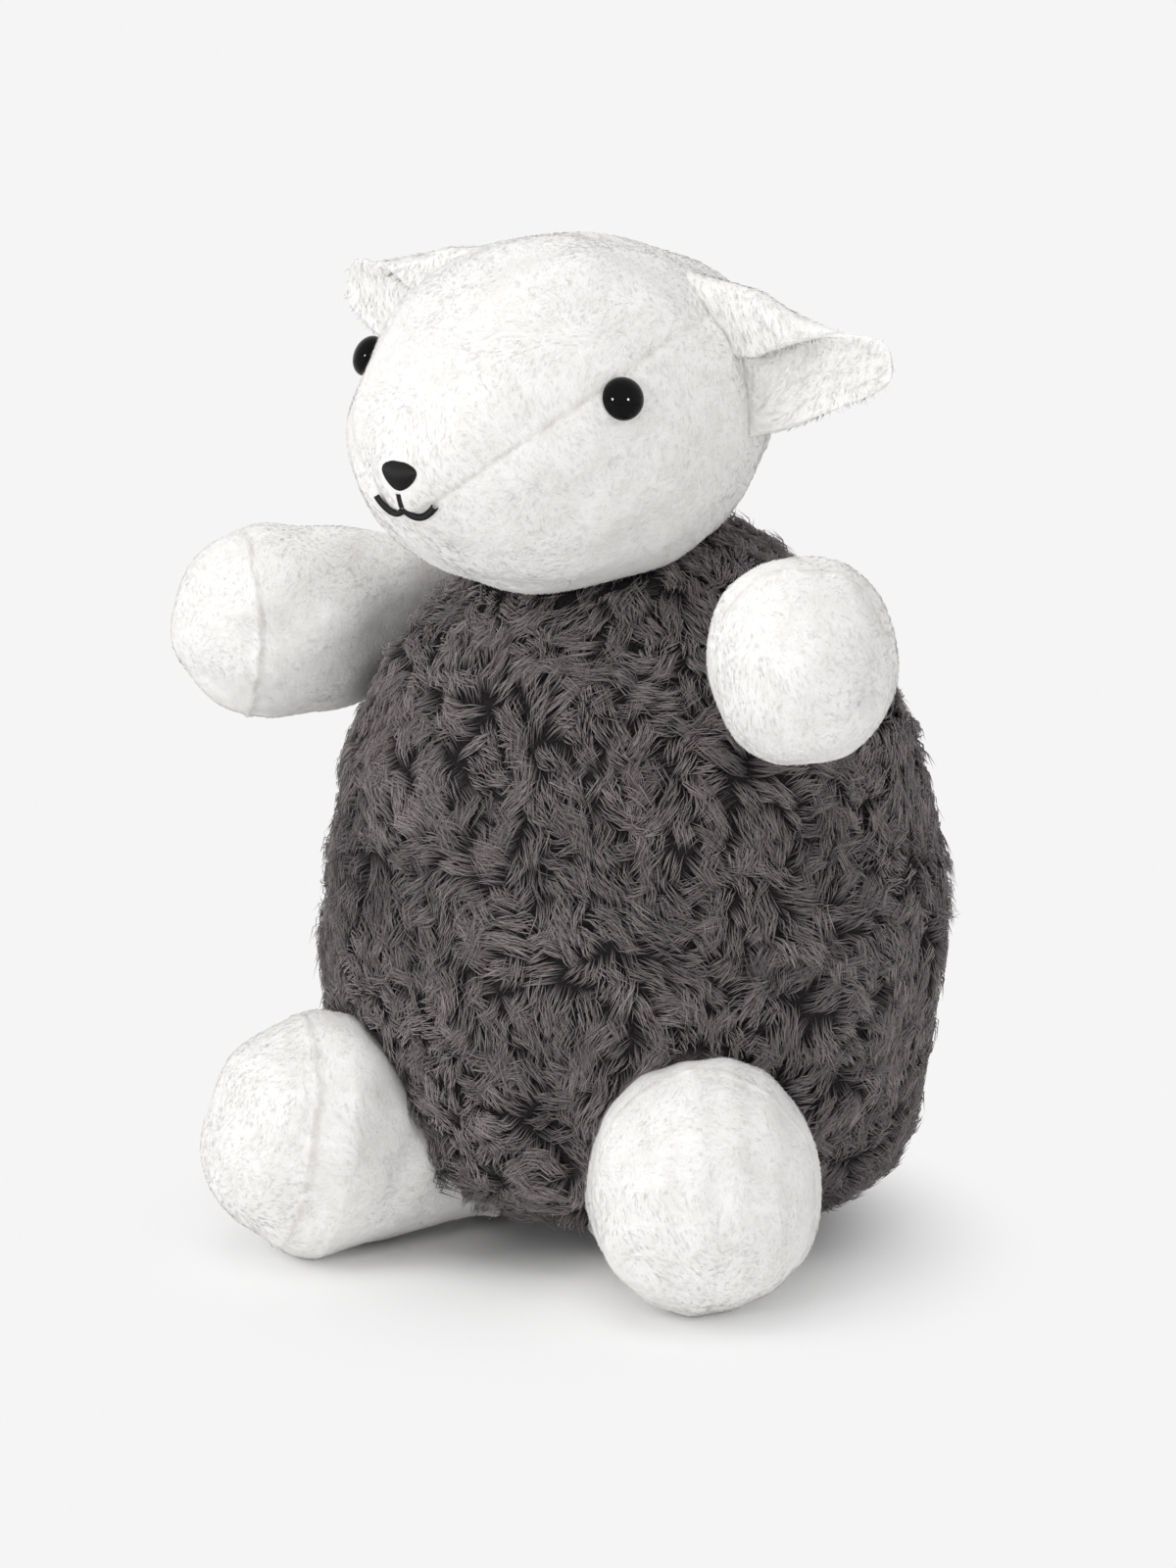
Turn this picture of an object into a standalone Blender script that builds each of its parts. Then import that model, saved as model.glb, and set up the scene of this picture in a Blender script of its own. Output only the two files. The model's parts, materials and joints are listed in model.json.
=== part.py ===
# Plush sheep that sits on the floor: a round body of long grey fleece with a stuffed head,
# two arms and two legs of short white pile.
# Metres, +Z up. The origin is on the floor under the middle of the body, the face looks
# along -Y, and the toy's own left side is at +X.
import math

import bmesh
import bpy
from mathutils import Matrix, Vector

# Clearances and fabrics
GAP = 0.0003                   # between two pieces that touch
STUFFING_GAP = 0.0005          # between a cover and the filling in it
MERGE = 0.00001                # points nearer than this are one
FLEECE_THICKNESS = 0.008       # backing and lying pile of the grey fleece
PILE_THICKNESS = 0.003         # backing and pile of the white plush

# Body, a pear that is turned about the vertical axis
BODY_RADIUS = 0.1175           # at its widest, over the fleece
NECK_BALL_RADIUS = 0.090       # the shoulders under the head are part of a ball
NECK_BALL_HEIGHT = 0.178       # the middle of that ball above the floor
BASE_RADIUS = 0.064            # flat circle that stands on the floor
BASE_BACK = 0.030              # that circle's middle behind the body's axis
BASE_BACK_HEIGHT = 0.040       # the body is set back below this height
BASE_SEAM_SHARES = (0.690, 0.030)
# Outline below the shoulders: share of the body's radius, share of its height
BODY_OUTLINE_SHARES = (
    (0.760, 0.790), (0.818, 0.737), (0.902, 0.668), (0.968, 0.522),
    (1.000, 0.366), (0.965, 0.231), (0.893, 0.119), (0.805, 0.062))
SHOULDER_ANGLE = 58.0          # how far down the ball of the shoulders goes, in degrees
SHOULDER_STEPS = 5
BODY_SEGMENTS = 24
PELLET_LEVEL = 0.045           # top of the bag of pellets that weights the base
SIDE_SEAM_FORWARD = 0.014      # the side seams lie this far in front of the middle

# Head, an egg with its muzzle to the front
HEAD_FORWARD = 0.045           # middle of the head in front of the body's axis
HEAD_SINK = 0.0296             # the shoulders reach this far up into the head
HEAD_HALF_WIDTH = 0.068
HEAD_HALF_LENGTH = 0.088
HEAD_HALF_HEIGHT = 0.063
HEAD_ROLL_ANGLE = 3.5          # degrees that the head is cocked, its right side up
CHEEK_TAPER_SHARE = 0.16
BROW_TAPER_SHARE = 0.30
CHIN_TAPER_SHARE = 0.18
MUZZLE_DROP = 0.010
GUSSET_RISE = 0.0012           # the gusset's two planes meet this far above the middle
GUSSET_HALF_ANGLE = 57.6       # each plane's lean outward from upright, in degrees
GUSSET_TILT_ANGLE = 19.5       # the line where they meet rises this much to the back
BALL_STEPS = 9                 # flat steps of the head's hollow, from its crown to its side
HEAD_AROUND_STEPS = 22
HEAD_ALONG_STEPS = 12
NECK_OPENING_RADIUS = 0.028    # hole in the fleece under the head
NECK_SEAM_ANGLE = 21.0         # the stitching's place on the shoulders' ball, in degrees
NECK_THREAD_RADIUS = 0.0012
NECK_THREAD_STEPS = 6

# Eyes: a dome on a shank, held by a washer inside the head
EYE_RADIUS = 0.0075
EYE_DOME = 0.0055
EYE_RIM = 0.0008
EYE_SHANK_RADIUS = 0.002
EYE_SHANK_PAST = 0.004         # length of the shank past the washer
EYE_DIRECTION_SHARES = (0.857, -0.440, 0.315)
WASHER_RADIUS = 0.008
WASHER_THICKNESS = 0.0015
EYE_STEPS = 4
SMALL_SEGMENTS = 12

# Embroidery of the face
NOSE_HALF_WIDTH = 0.0115
NOSE_HALF_HEIGHT = 0.0070
NOSE_THICKNESS = 0.0022
NOSE_DIRECTION_SHARES = (0.0, -0.965, -0.055)
NOSE_POINT_SHARE = 0.62        # how much narrower the nose is at its lower end
NOSE_AROUND_STEPS = 14
NOSE_ALONG_STEPS = 8
STEM_LENGTH = 0.0058
STEM_STEPS = 3
MOUTH_HALF_WIDTH = 0.0150
MOUTH_DEPTH = 0.0048           # how far its two lobes hang
MOUTH_LOBE_SHARE = 0.80        # under 1, the lobes are fuller than a sine's
MOUTH_END_SHARE = 0.25         # how much shallower a lobe is at the mouth's end
MOUTH_RISE = 0.0022            # the ends lie this far above the middle
MOUTH_STEPS = 6                # on each side of the middle
THREAD_RADIUS = 0.0013
THREAD_ROUND_STEPS = 2

# Ears: two layers of plush, folded along the ear so that a flap hangs over the front
EAR_LENGTH = 0.059
EAR_HALF_HEIGHT = 0.031        # of the form at the root
EAR_TIP_SHARE = 0.34           # how high the form is at the tip
EAR_ROOT_DEPTH = 0.010         # length of ear form inside the head, cut off there
EAR_FOLD_DEPTH = 0.0185        # the flap's lip stands this far in front of the ear's back
# Across the ear, from its lower rim over the fold to the flap's lip: share of the half
# height, share of the fold's depth
EAR_FOLD_SHARES = (
    (-1.00, 0.40), (-0.70, 0.15), (-0.30, 0.02), (0.15, 0.00), (0.52, 0.00), (0.80, 0.04),
    (0.96, 0.24), (0.99, 0.56), (0.88, 0.86), (0.55, 1.00), (0.14, 1.00))
EAR_CUP_SHARE = 0.35           # depth of the cup that the fold opens out into at the tip
EAR_FOLD_END_SHARES = (0.40, 0.95)      # it opens out between these shares of the length
EAR_LAYER = 0.0026             # at the root, and thinner to the tip as its height is
EAR_FULL_SHARE = 0.30          # under 1, the ear's outline is fuller than an oval
EAR_ROOT_DIRECTION_SHARES = (0.945, 0.100, 0.365)
EAR_BACK = 0.0175              # the tip lies this far behind the root
EAR_RISE = 0.002               # and this far above it
EAR_ROOT_LEAN_ANGLE = 17.0     # degrees that the root line leans in at its top
EAR_FLAP_ANGLE = 18.0          # joint limit each way, in degrees
EAR_AROUND_STEPS = 20
EAR_ALONG_STEPS = 14

# Limbs: a sleeve from a flat root to a round end, closed by an end pad
LIMB_AROUND_STEPS = 14
LIMB_ALONG_STEPS = 10
ROOT_HALF_THICKNESS = 0.0030
ROOT_SINK = 0.004              # the root's form starts this far inside the body
CAVITY_HALF_THICKNESS = 0.0015 # of the filling at its thin end

ARM_ROOT_SHARE = 0.4444        # how far up the shoulders' ball the root's middle is
ARM_ROOT_HALF_WIDTH = 0.026
ARM_ROOT_LEAN_ANGLE = 36.0     # the side seam leans in at its top, in degrees
HAND_OUT = 0.0357              # the hand's middle from the root's, outward, ahead and up
HAND_AHEAD = 0.050
LEFT_HAND_RISE = 0.010
RIGHT_HAND_RISE = -0.0008
HAND_HALF_WIDTH = 0.036
HAND_HALF_THICKNESS = 0.0325
HAND_DOME = 0.038
HAND_SEAM = 0.012              # end pad's seam past the hand's middle
HAND_ANGLE = 38.0              # the hand points this far outward from straight ahead
ARM_FORWARD_ANGLE = 15.0       # joint limits, in degrees
ARM_BACK_ANGLE = 50.0

LEFT_ROOT_SHARES = (0.4255, 0.3660)     # middle of the root in the base seam: outward and
RIGHT_ROOT_SHARES = (0.3234, 0.4426)    # ahead, as shares of the body's radius
LEG_ROOT_HEIGHT = 0.010
LEG_ROOT_HALF_WIDTH = 0.029
LEFT_ROOT_ANGLE = 42.0         # the root's line leans back this far, in degrees
RIGHT_ROOT_ANGLE = 30.0
LEFT_FOOT_OUT = 0.0440         # the foot's middle from the root's, outward and ahead
RIGHT_FOOT_OUT = 0.0160
LEFT_FOOT_AHEAD = 0.041
RIGHT_FOOT_AHEAD = 0.063
FOOT_HALF_WIDTH = 0.0410
FOOT_HALF_THICKNESS = 0.0440
FOOT_DOME = 0.043
FOOT_SEAM = 0.014
FOOT_ANGLE = 35.0              # the sole faces this far outward from straight ahead
FOOT_TIP_ANGLE = 10.0          # and this far up
FLOOR_FLAT = 0.0005            # the feet are cut flat this deep
LEG_DOWN_ANGLE = 35.0          # joint limit, in degrees

# Finishes: colour as hex sRGB, roughness
FINISHES = {
    "grey_fleece": ("544E50", 0.95),
    "white_plush": ("F1F0EE", 0.90),
    "fibre_filling": ("F4F4F2", 1.00),
    "pellet_bag_cotton": ("D9D2C4", 0.95),
    "black_plastic": ("0B0B0C", 0.12),
    "washer_plastic": ("E8E8E4", 0.45),
    "black_thread": ("101012", 0.60),
    "white_thread": ("EFEFEA", 0.70),
}

SIDES = {"left": 1.0, "right": -1.0}
UP = Vector((0.0, 0.0, 1.0))
BODY_HEIGHT = NECK_BALL_HEIGHT + NECK_BALL_RADIUS
NECK_CENTRE = Vector((0.0, 0.0, NECK_BALL_HEIGHT))
HEAD_CENTRE = Vector((0.0, -HEAD_FORWARD, BODY_HEIGHT + HEAD_HALF_HEIGHT - HEAD_SINK))
ARM_ROOT_HEIGHT = NECK_BALL_HEIGHT + NECK_BALL_RADIUS * ARM_ROOT_SHARE
REACH = 2.0 * (HEAD_CENTRE.z + HEAD_HALF_HEIGHT)  # longer than any piece, for the cutters


def clear_scene():
    for old in list(bpy.data.objects):
        bpy.data.objects.remove(old, do_unlink=True)


def new_collection(name):
    collection = bpy.data.collections.new(name)
    bpy.context.scene.collection.children.link(collection)
    return collection


def linear(hex_colour):
    values = [int(hex_colour[i:i + 2], 16) / 255.0 for i in (0, 2, 4)]
    return [v / 12.92 if v <= 0.04045 else ((v + 0.055) / 1.055) ** 2.4 for v in values]


def new_object(name, mesh, collection, parent=None):
    piece = bpy.data.objects.new(name, mesh)
    collection.objects.link(piece)
    piece.parent = parent
    return piece


def new_empty(name, place, parent=None):
    empty = new_object(name, None, PARTS, parent)
    empty.matrix_basis = place
    return empty


def finish(piece, finish_name):
    """Give a piece its own material and smooth faces."""
    hex_colour, roughness = FINISHES[finish_name]
    material = bpy.data.materials.new(piece.name + "_" + finish_name)
    material.use_nodes = True
    shader = material.node_tree.nodes["Principled BSDF"]
    shader.inputs["Base Color"].default_value = (*linear(hex_colour), 1.0)
    shader.inputs["Roughness"].default_value = roughness
    shader.inputs["Metallic"].default_value = 0.0
    piece.data.materials.append(material)
    return piece


def as_cutter(piece):
    piece.hide_render = True
    piece.display_type = "WIRE"
    return piece


def shaped_sphere(name, around, along, place, collection, parent=None):
    """A sphere of unit radius whose every point is moved by the function place."""
    bm = bmesh.new()
    bmesh.ops.create_uvsphere(bm, u_segments=around, v_segments=along, radius=1.0)
    for vert in bm.verts:
        vert.co = place(vert.co.copy())
    bm.normal_update()
    bmesh.ops.recalc_face_normals(bm, faces=bm.faces)
    bmesh.ops.triangulate(bm, faces=bm.faces, quad_method="FIXED")
    mesh = bpy.data.meshes.new(name)
    bm.to_mesh(mesh)
    bm.free()
    mesh.shade_smooth()
    return new_object(name, mesh, collection, parent)


def turned(name, profile, segments, collection, parent=None, closed=False):
    """A profile of (radius, height) points turned about Z. It runs down its outer side."""
    count = len(profile)
    edges = [(i, i + 1) for i in range(count - 1)]
    if closed:
        edges.append((count - 1, 0))
    mesh = bpy.data.meshes.new(name)
    mesh.from_pydata([(radius, 0.0, height) for radius, height in profile], edges, [])
    piece = new_object(name, mesh, collection, parent)
    screw = piece.modifiers.new("turn", "SCREW")
    screw.steps = segments
    screw.render_steps = segments
    screw.use_merge_vertices = True
    screw.merge_threshold = MERGE
    screw.use_smooth_shade = True
    return piece


def set_back(piece):
    """Make a turned piece a mesh and move its lower end back, as the body sits."""
    bpy.context.view_layer.update()
    evaluated = piece.evaluated_get(bpy.context.evaluated_depsgraph_get())
    mesh = bpy.data.meshes.new_from_object(evaluated)
    for vert in mesh.vertices:
        share = max(0.0, 1.0 - vert.co.z / BASE_BACK_HEIGHT)
        vert.co.y += BASE_BACK * share ** 2
    piece.modifiers.clear()
    piece.data = mesh
    return piece


def block_behind(name, point, normal, parent=None):
    """A cutter that fills the space on the normal's side of the plane through a point."""
    bm = bmesh.new()
    turn = normal.to_track_quat("Z", "Y").to_matrix().to_4x4()
    place = Matrix.Translation(point) @ turn @ Matrix.Translation((0.0, 0.0, REACH / 2.0))
    bmesh.ops.create_cube(bm, size=REACH, matrix=place)
    mesh = bpy.data.meshes.new(name)
    bm.to_mesh(mesh)
    bm.free()
    return as_cutter(new_object(name, mesh, CUTTERS, parent))


def cut(piece, cutter, operation="DIFFERENCE"):
    boolean = piece.modifiers.new("cut_" + cutter.name, "BOOLEAN")
    boolean.solver = "EXACT"
    boolean.operation = operation
    boolean.object = cutter


def turn_about(point, axis, degrees):
    turn = Matrix.Rotation(math.radians(degrees), 4, axis)
    return Matrix.Translation(point) @ turn @ Matrix.Translation(-point)


def turned_copy(cutter, name, place):
    """A copy of a cutter that stands where the joint's turn puts it."""
    copy = cutter.copy()
    copy.name = name
    CUTTERS.objects.link(copy)
    copy.matrix_basis = place @ cutter.matrix_basis
    return copy


def body_outline():
    """The body's outer profile from the crown of the shoulders to the middle of the base."""
    points = []
    for step in range(SHOULDER_STEPS + 1):
        angle = math.radians(SHOULDER_ANGLE) * step / SHOULDER_STEPS
        radius = NECK_BALL_RADIUS * math.sin(angle)
        points.append((radius, NECK_BALL_HEIGHT + NECK_BALL_RADIUS * math.cos(angle)))
    for radius_share, height_share in BODY_OUTLINE_SHARES:
        points.append((BODY_RADIUS * radius_share, BODY_HEIGHT * height_share))
    points.append((BODY_RADIUS * BASE_SEAM_SHARES[0], BODY_HEIGHT * BASE_SEAM_SHARES[1]))
    points.append((BASE_RADIUS, 0.0))
    points.append((0.0, 0.0))
    return points


def inset(profile, depth):
    """The profile moved inward by a depth, square to itself. Its ends stay on the axis."""
    moved = []
    last = len(profile) - 1
    for i, (radius, height) in enumerate(profile):
        before = profile[max(i - 1, 0)]
        after = profile[min(i + 1, last)]
        along = Vector((after[0] - before[0], after[1] - before[1])).normalized()
        if i == 0:
            moved.append((0.0, height - depth))
        elif i == last:
            moved.append((0.0, height + depth))
        else:
            moved.append((radius + along.y * depth, height - along.x * depth))
    return moved


def radius_at(profile, height):
    """Radius of the profile's outer side at a height."""
    for (r0, z0), (r1, z1) in zip(profile, profile[1:]):
        if z0 >= height > z1:
            return r0 + (r1 - r0) * (z0 - height) / (z0 - z1)
    return 0.0


def body_piece(name, profile, collection):
    return set_back(turned(name, profile, BODY_SEGMENTS, collection))


def body_form(name, depth):
    return as_cutter(body_piece(name, inset(body_outline(), depth), CUTTERS))


def make_body():
    outer = body_outline()
    inner = inset(outer, FLEECE_THICKNESS)
    seam = len(outer) - 3
    cover = outer[:seam + 1] + inner[:seam + 1][::-1]
    neck_hole = as_cutter(turned(
        "neck_hole_cutter", [(0.0, REACH), (NECK_OPENING_RADIUS, REACH),
                             (NECK_OPENING_RADIUS, NECK_BALL_RADIUS / 2.0),
                             (0.0, NECK_BALL_RADIUS / 2.0)], BODY_SEGMENTS, CUTTERS))
    neck_hole.matrix_basis = NECK_PLACE
    for name, direction in (("body_front_panel", 1.0), ("body_back_panel", -1.0)):
        panel = finish(body_piece(name, cover, PARTS), "grey_fleece")
        point = Vector((0.0, -SIDE_SEAM_FORWARD - direction * GAP / 2.0, 0.0))
        cut(panel, block_behind(name + "_cutter", point, Vector((0.0, direction, 0.0))))
        cut(panel, neck_hole)

    gap_share = GAP / (outer[seam][1] - outer[seam + 1][1])
    start = Vector(outer[seam]).lerp(Vector(outer[seam + 1]), gap_share)
    start_inside = Vector(inner[seam]).lerp(Vector(inner[seam + 1]), gap_share)
    base = [(0.0, inner[-1][1]), inner[seam + 1], tuple(start_inside), tuple(start),
            outer[seam + 1], (0.0, 0.0)]
    finish(body_piece("base_panel", base, PARTS), "grey_fleece")

    inside = inset(outer, FLEECE_THICKNESS + STUFFING_GAP)
    filling_foot = PELLET_LEVEL + STUFFING_GAP
    filling = [point for point in inside if point[1] > filling_foot]
    filling += [(radius_at(inside, filling_foot), filling_foot), (0.0, filling_foot)]
    finish(body_piece("body_filling", filling, PARTS), "fibre_filling")
    bag = [(0.0, PELLET_LEVEL), (radius_at(inside, PELLET_LEVEL), PELLET_LEVEL)]
    bag += [point for point in inside if point[1] < PELLET_LEVEL]
    finish(body_piece("pellet_bag", bag, PARTS), "pellet_bag_cotton")


def head_point(direction, depth=0.0):
    """Point of the head's surface in a direction, in the head's own frame."""
    unit = direction.normalized()
    front = max(0.0, -unit.y) ** 2
    tall_taper = BROW_TAPER_SHARE if unit.z > 0.0 else CHIN_TAPER_SHARE
    return Vector((
        (HEAD_HALF_WIDTH - depth) * unit.x * (1.0 - CHEEK_TAPER_SHARE * front),
        (HEAD_HALF_LENGTH - depth) * unit.y,
        (HEAD_HALF_HEIGHT - depth) * unit.z * (1.0 - tall_taper * front) - MUZZLE_DROP * front))


def head_normal(direction):
    """Outward normal of the head's surface in a direction."""
    unit = direction.normalized()
    side = unit.cross(UP).normalized()
    rise = side.cross(unit)
    nudge_share = 0.001
    across = head_point(unit + side * nudge_share) - head_point(unit - side * nudge_share)
    along = head_point(unit + rise * nudge_share) - head_point(unit - rise * nudge_share)
    normal = across.cross(along).normalized()
    return normal if normal.dot(unit) > 0.0 else -normal


def head_form(name, depth, collection):
    def place(unit):
        return head_point(Vector((unit.x, -unit.z, unit.y)), depth)
    return shaped_sphere(name, HEAD_AROUND_STEPS, HEAD_ALONG_STEPS, place, collection,
                         HEAD_FRAME)


def neck_ring(name, radius, collection):
    """The ring of stitches where the head meets the shoulders."""
    ball = NECK_BALL_RADIUS + GAP + NECK_THREAD_RADIUS
    angle = math.radians(NECK_SEAM_ANGLE)
    profile = []
    for i in range(NECK_THREAD_STEPS):
        turn = 2.0 * math.pi * i / NECK_THREAD_STEPS
        profile.append((ball * math.sin(angle) + radius * math.cos(turn),
                        ball * math.cos(angle) - radius * math.sin(turn)))
    return turned(name, profile, BODY_SEGMENTS, collection, NECK_FRAME, closed=True)


def eye_place(side):
    direction = Vector((SIDES[side] * EYE_DIRECTION_SHARES[0], *EYE_DIRECTION_SHARES[1:]))
    normal = head_normal(direction)
    turn = normal.to_track_quat("Z", "Y").to_matrix().to_4x4()
    return Matrix.Translation(head_point(direction) + normal * GAP) @ turn


def make_eye(side, hole_pieces, filling):
    place = eye_place(side)
    hollow = WASHER_RADIUS ** 2 / HEAD_HALF_HEIGHT
    facet = HEAD_HALF_LENGTH * (1.0 - math.cos(math.pi / HEAD_ALONG_STEPS / 2.0))
    top = -(GAP + PILE_THICKNESS + hollow + facet + GAP)
    foot = top - WASHER_THICKNESS - EYE_SHANK_PAST
    profile = []
    for i in range(EYE_STEPS + 1):
        angle = math.pi / 2.0 * i / EYE_STEPS
        profile.append((EYE_RADIUS * math.sin(angle), EYE_RIM + EYE_DOME * math.cos(angle)))
    profile += [(EYE_RADIUS - EYE_RIM, 0.0), (EYE_SHANK_RADIUS, 0.0),
                (EYE_SHANK_RADIUS, foot), (0.0, foot)]
    eye = turned("eye_" + side, profile, SMALL_SEGMENTS, PARTS, HEAD_FRAME)
    eye.matrix_basis = place
    finish(eye, "black_plastic")

    bore = EYE_SHANK_RADIUS + GAP
    washer_profile = [(bore, top), (WASHER_RADIUS, top),
                      (WASHER_RADIUS, top - WASHER_THICKNESS), (bore, top - WASHER_THICKNESS)]
    washer = turned("eye_washer_" + side, washer_profile, SMALL_SEGMENTS, PARTS, HEAD_FRAME,
                    closed=True)
    washer.matrix_basis = place
    finish(washer, "washer_plastic")

    def post(name, radius, low):
        post_profile = [(0.0, EYE_RADIUS), (radius, EYE_RADIUS), (radius, low), (0.0, low)]
        cutter = as_cutter(turned(name, post_profile, SMALL_SEGMENTS, CUTTERS, HEAD_FRAME))
        cutter.matrix_basis = place
        return cutter

    hole = post("eye_hole_cutter_" + side, bore, foot)
    for piece in hole_pieces:
        cut(piece, hole)
    pocket = post("eye_pocket_cutter_" + side, WASHER_RADIUS + GAP, foot - GAP)
    cut(filling, pocket)


def on_face(side, up, height):
    """Point over the front of the head, side and up being distances from the nose."""
    start = Vector(NOSE_DIRECTION_SHARES)
    direction = start + Vector((side / HEAD_HALF_WIDTH, 0.0, up / HEAD_HALF_HEIGHT))
    return head_point(direction) + head_normal(direction) * height


def make_face_embroidery():
    def nose_place(unit):
        narrow = 1.0 - NOSE_POINT_SHARE * (1.0 - unit.y) / 2.0
        height = GAP + NOSE_THICKNESS * max(0.0, unit.z)
        return on_face(NOSE_HALF_WIDTH * unit.x * narrow, NOSE_HALF_HEIGHT * unit.y, height)

    nose = shaped_sphere("nose_embroidery", NOSE_AROUND_STEPS, NOSE_ALONG_STEPS, nose_place,
                         PARTS, HEAD_FRAME)
    finish(nose, "black_thread")

    stem_top = -NOSE_HALF_HEIGHT - GAP - THREAD_RADIUS
    stem = [(0.0, stem_top - STEM_LENGTH * i / STEM_STEPS) for i in range(STEM_STEPS + 1)]
    thread_line("stem_embroidery", stem)
    mouth_top = stem_top - STEM_LENGTH - GAP - 2.0 * THREAD_RADIUS
    mouth = []
    for i in range(-MOUTH_STEPS, MOUTH_STEPS + 1):
        out = i / MOUTH_STEPS
        lobe = abs(math.sin(math.pi * out)) ** MOUTH_LOBE_SHARE
        hang = MOUTH_DEPTH * lobe * (1.0 - MOUTH_END_SHARE * abs(out))
        mouth.append((MOUTH_HALF_WIDTH * out, mouth_top - hang + MOUTH_RISE * out ** 2))
    thread_line("mouth_embroidery", mouth)


def thread_line(name, places):
    """A line of black satin stitches on the face, as a round cord."""
    curve = bpy.data.curves.new(name, "CURVE")
    curve.dimensions = "3D"
    curve.bevel_depth = THREAD_RADIUS
    curve.bevel_resolution = THREAD_ROUND_STEPS
    curve.use_fill_caps = True
    spline = curve.splines.new("POLY")
    spline.points.add(len(places) - 1)
    for point, (side, up) in zip(spline.points, places):
        point.co = (*on_face(side, up, GAP + THREAD_RADIUS), 1.0)
    finish(new_object(name, curve, PARTS, HEAD_FRAME), "black_thread")


def shoulder_ball():
    """Cutter whose flat faces lie no nearer to the neck's centre than the shoulders."""
    half_step = math.pi / 2.0 / BALL_STEPS / 2.0
    radius = (NECK_BALL_RADIUS + GAP) / math.cos(half_step) ** 2
    profile = []
    for i in range(BALL_STEPS + 1):
        angle = 2.0 * half_step * i
        profile.append((radius * math.sin(angle), radius * math.cos(angle)))
    profile.append((0.0, 0.0))
    ball = as_cutter(turned("shoulder_ball_cutter", profile, 4 * BALL_STEPS, CUTTERS))
    ball.location = NECK_CENTRE
    return ball


def make_head():
    cavity = as_cutter(head_form("head_cavity_cutter", PILE_THICKNESS, CUTTERS))
    ball = shoulder_ball()

    seam_line = Vector((0.0, 0.0, GUSSET_RISE))
    half_angle = math.radians(GUSSET_HALF_ANGLE)
    tilt = Matrix.Rotation(math.radians(GUSSET_TILT_ANGLE), 3, "X")
    panels = {}
    top = head_form("head_top_panel", 0.0, PARTS)
    cut(top, cavity)
    for side, sign in SIDES.items():
        across = tilt @ Vector((sign * math.cos(half_angle), 0.0, -math.sin(half_angle)))
        cut(top, block_behind("gusset_cutter_" + side, seam_line - across * GAP / 2.0, across,
                              HEAD_FRAME))
        panel = head_form("head_" + side + "_panel", 0.0, PARTS)
        cut(panel, cavity)
        cut(panel, block_behind("crown_cutter_" + side, seam_line + across * GAP / 2.0,
                                -across, HEAD_FRAME))
        cut(panel, block_behind("chin_cutter_" + side, Vector((sign * GAP / 2.0, 0.0, 0.0)),
                                Vector((-sign, 0.0, 0.0)), HEAD_FRAME))
        panels[side] = panel
    filling = head_form("head_filling", PILE_THICKNESS + STUFFING_GAP, PARTS)
    groove = as_cutter(neck_ring("neck_groove_cutter", NECK_THREAD_RADIUS + GAP, CUTTERS))
    for piece in (top, panels["left"], panels["right"], filling):
        cut(piece, ball)
        cut(piece, groove)
        finish(piece, "fibre_filling" if piece == filling else "white_plush")
    finish(neck_ring("neck_stitching", NECK_THREAD_RADIUS, PARTS), "white_thread")
    for side in SIDES:
        make_eye(side, [panels[side]], filling)
    make_face_embroidery()


def ear_fold(across, share):
    """Height and forward place across the ear, from -1 at its lower rim to 1 at the lip."""
    run = (across + 1.0) / 2.0 * (len(EAR_FOLD_SHARES) - 1)
    step = min(int(run), len(EAR_FOLD_SHARES) - 2)
    folded = Vector(EAR_FOLD_SHARES[step]).lerp(Vector(EAR_FOLD_SHARES[step + 1]), run - step)
    start, end = EAR_FOLD_END_SHARES
    opened = min(1.0, max(0.0, (share - start) / (end - start)))
    cup = Vector((across, EAR_CUP_SHARE * across ** 2))
    return folded.lerp(cup, opened)


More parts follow.
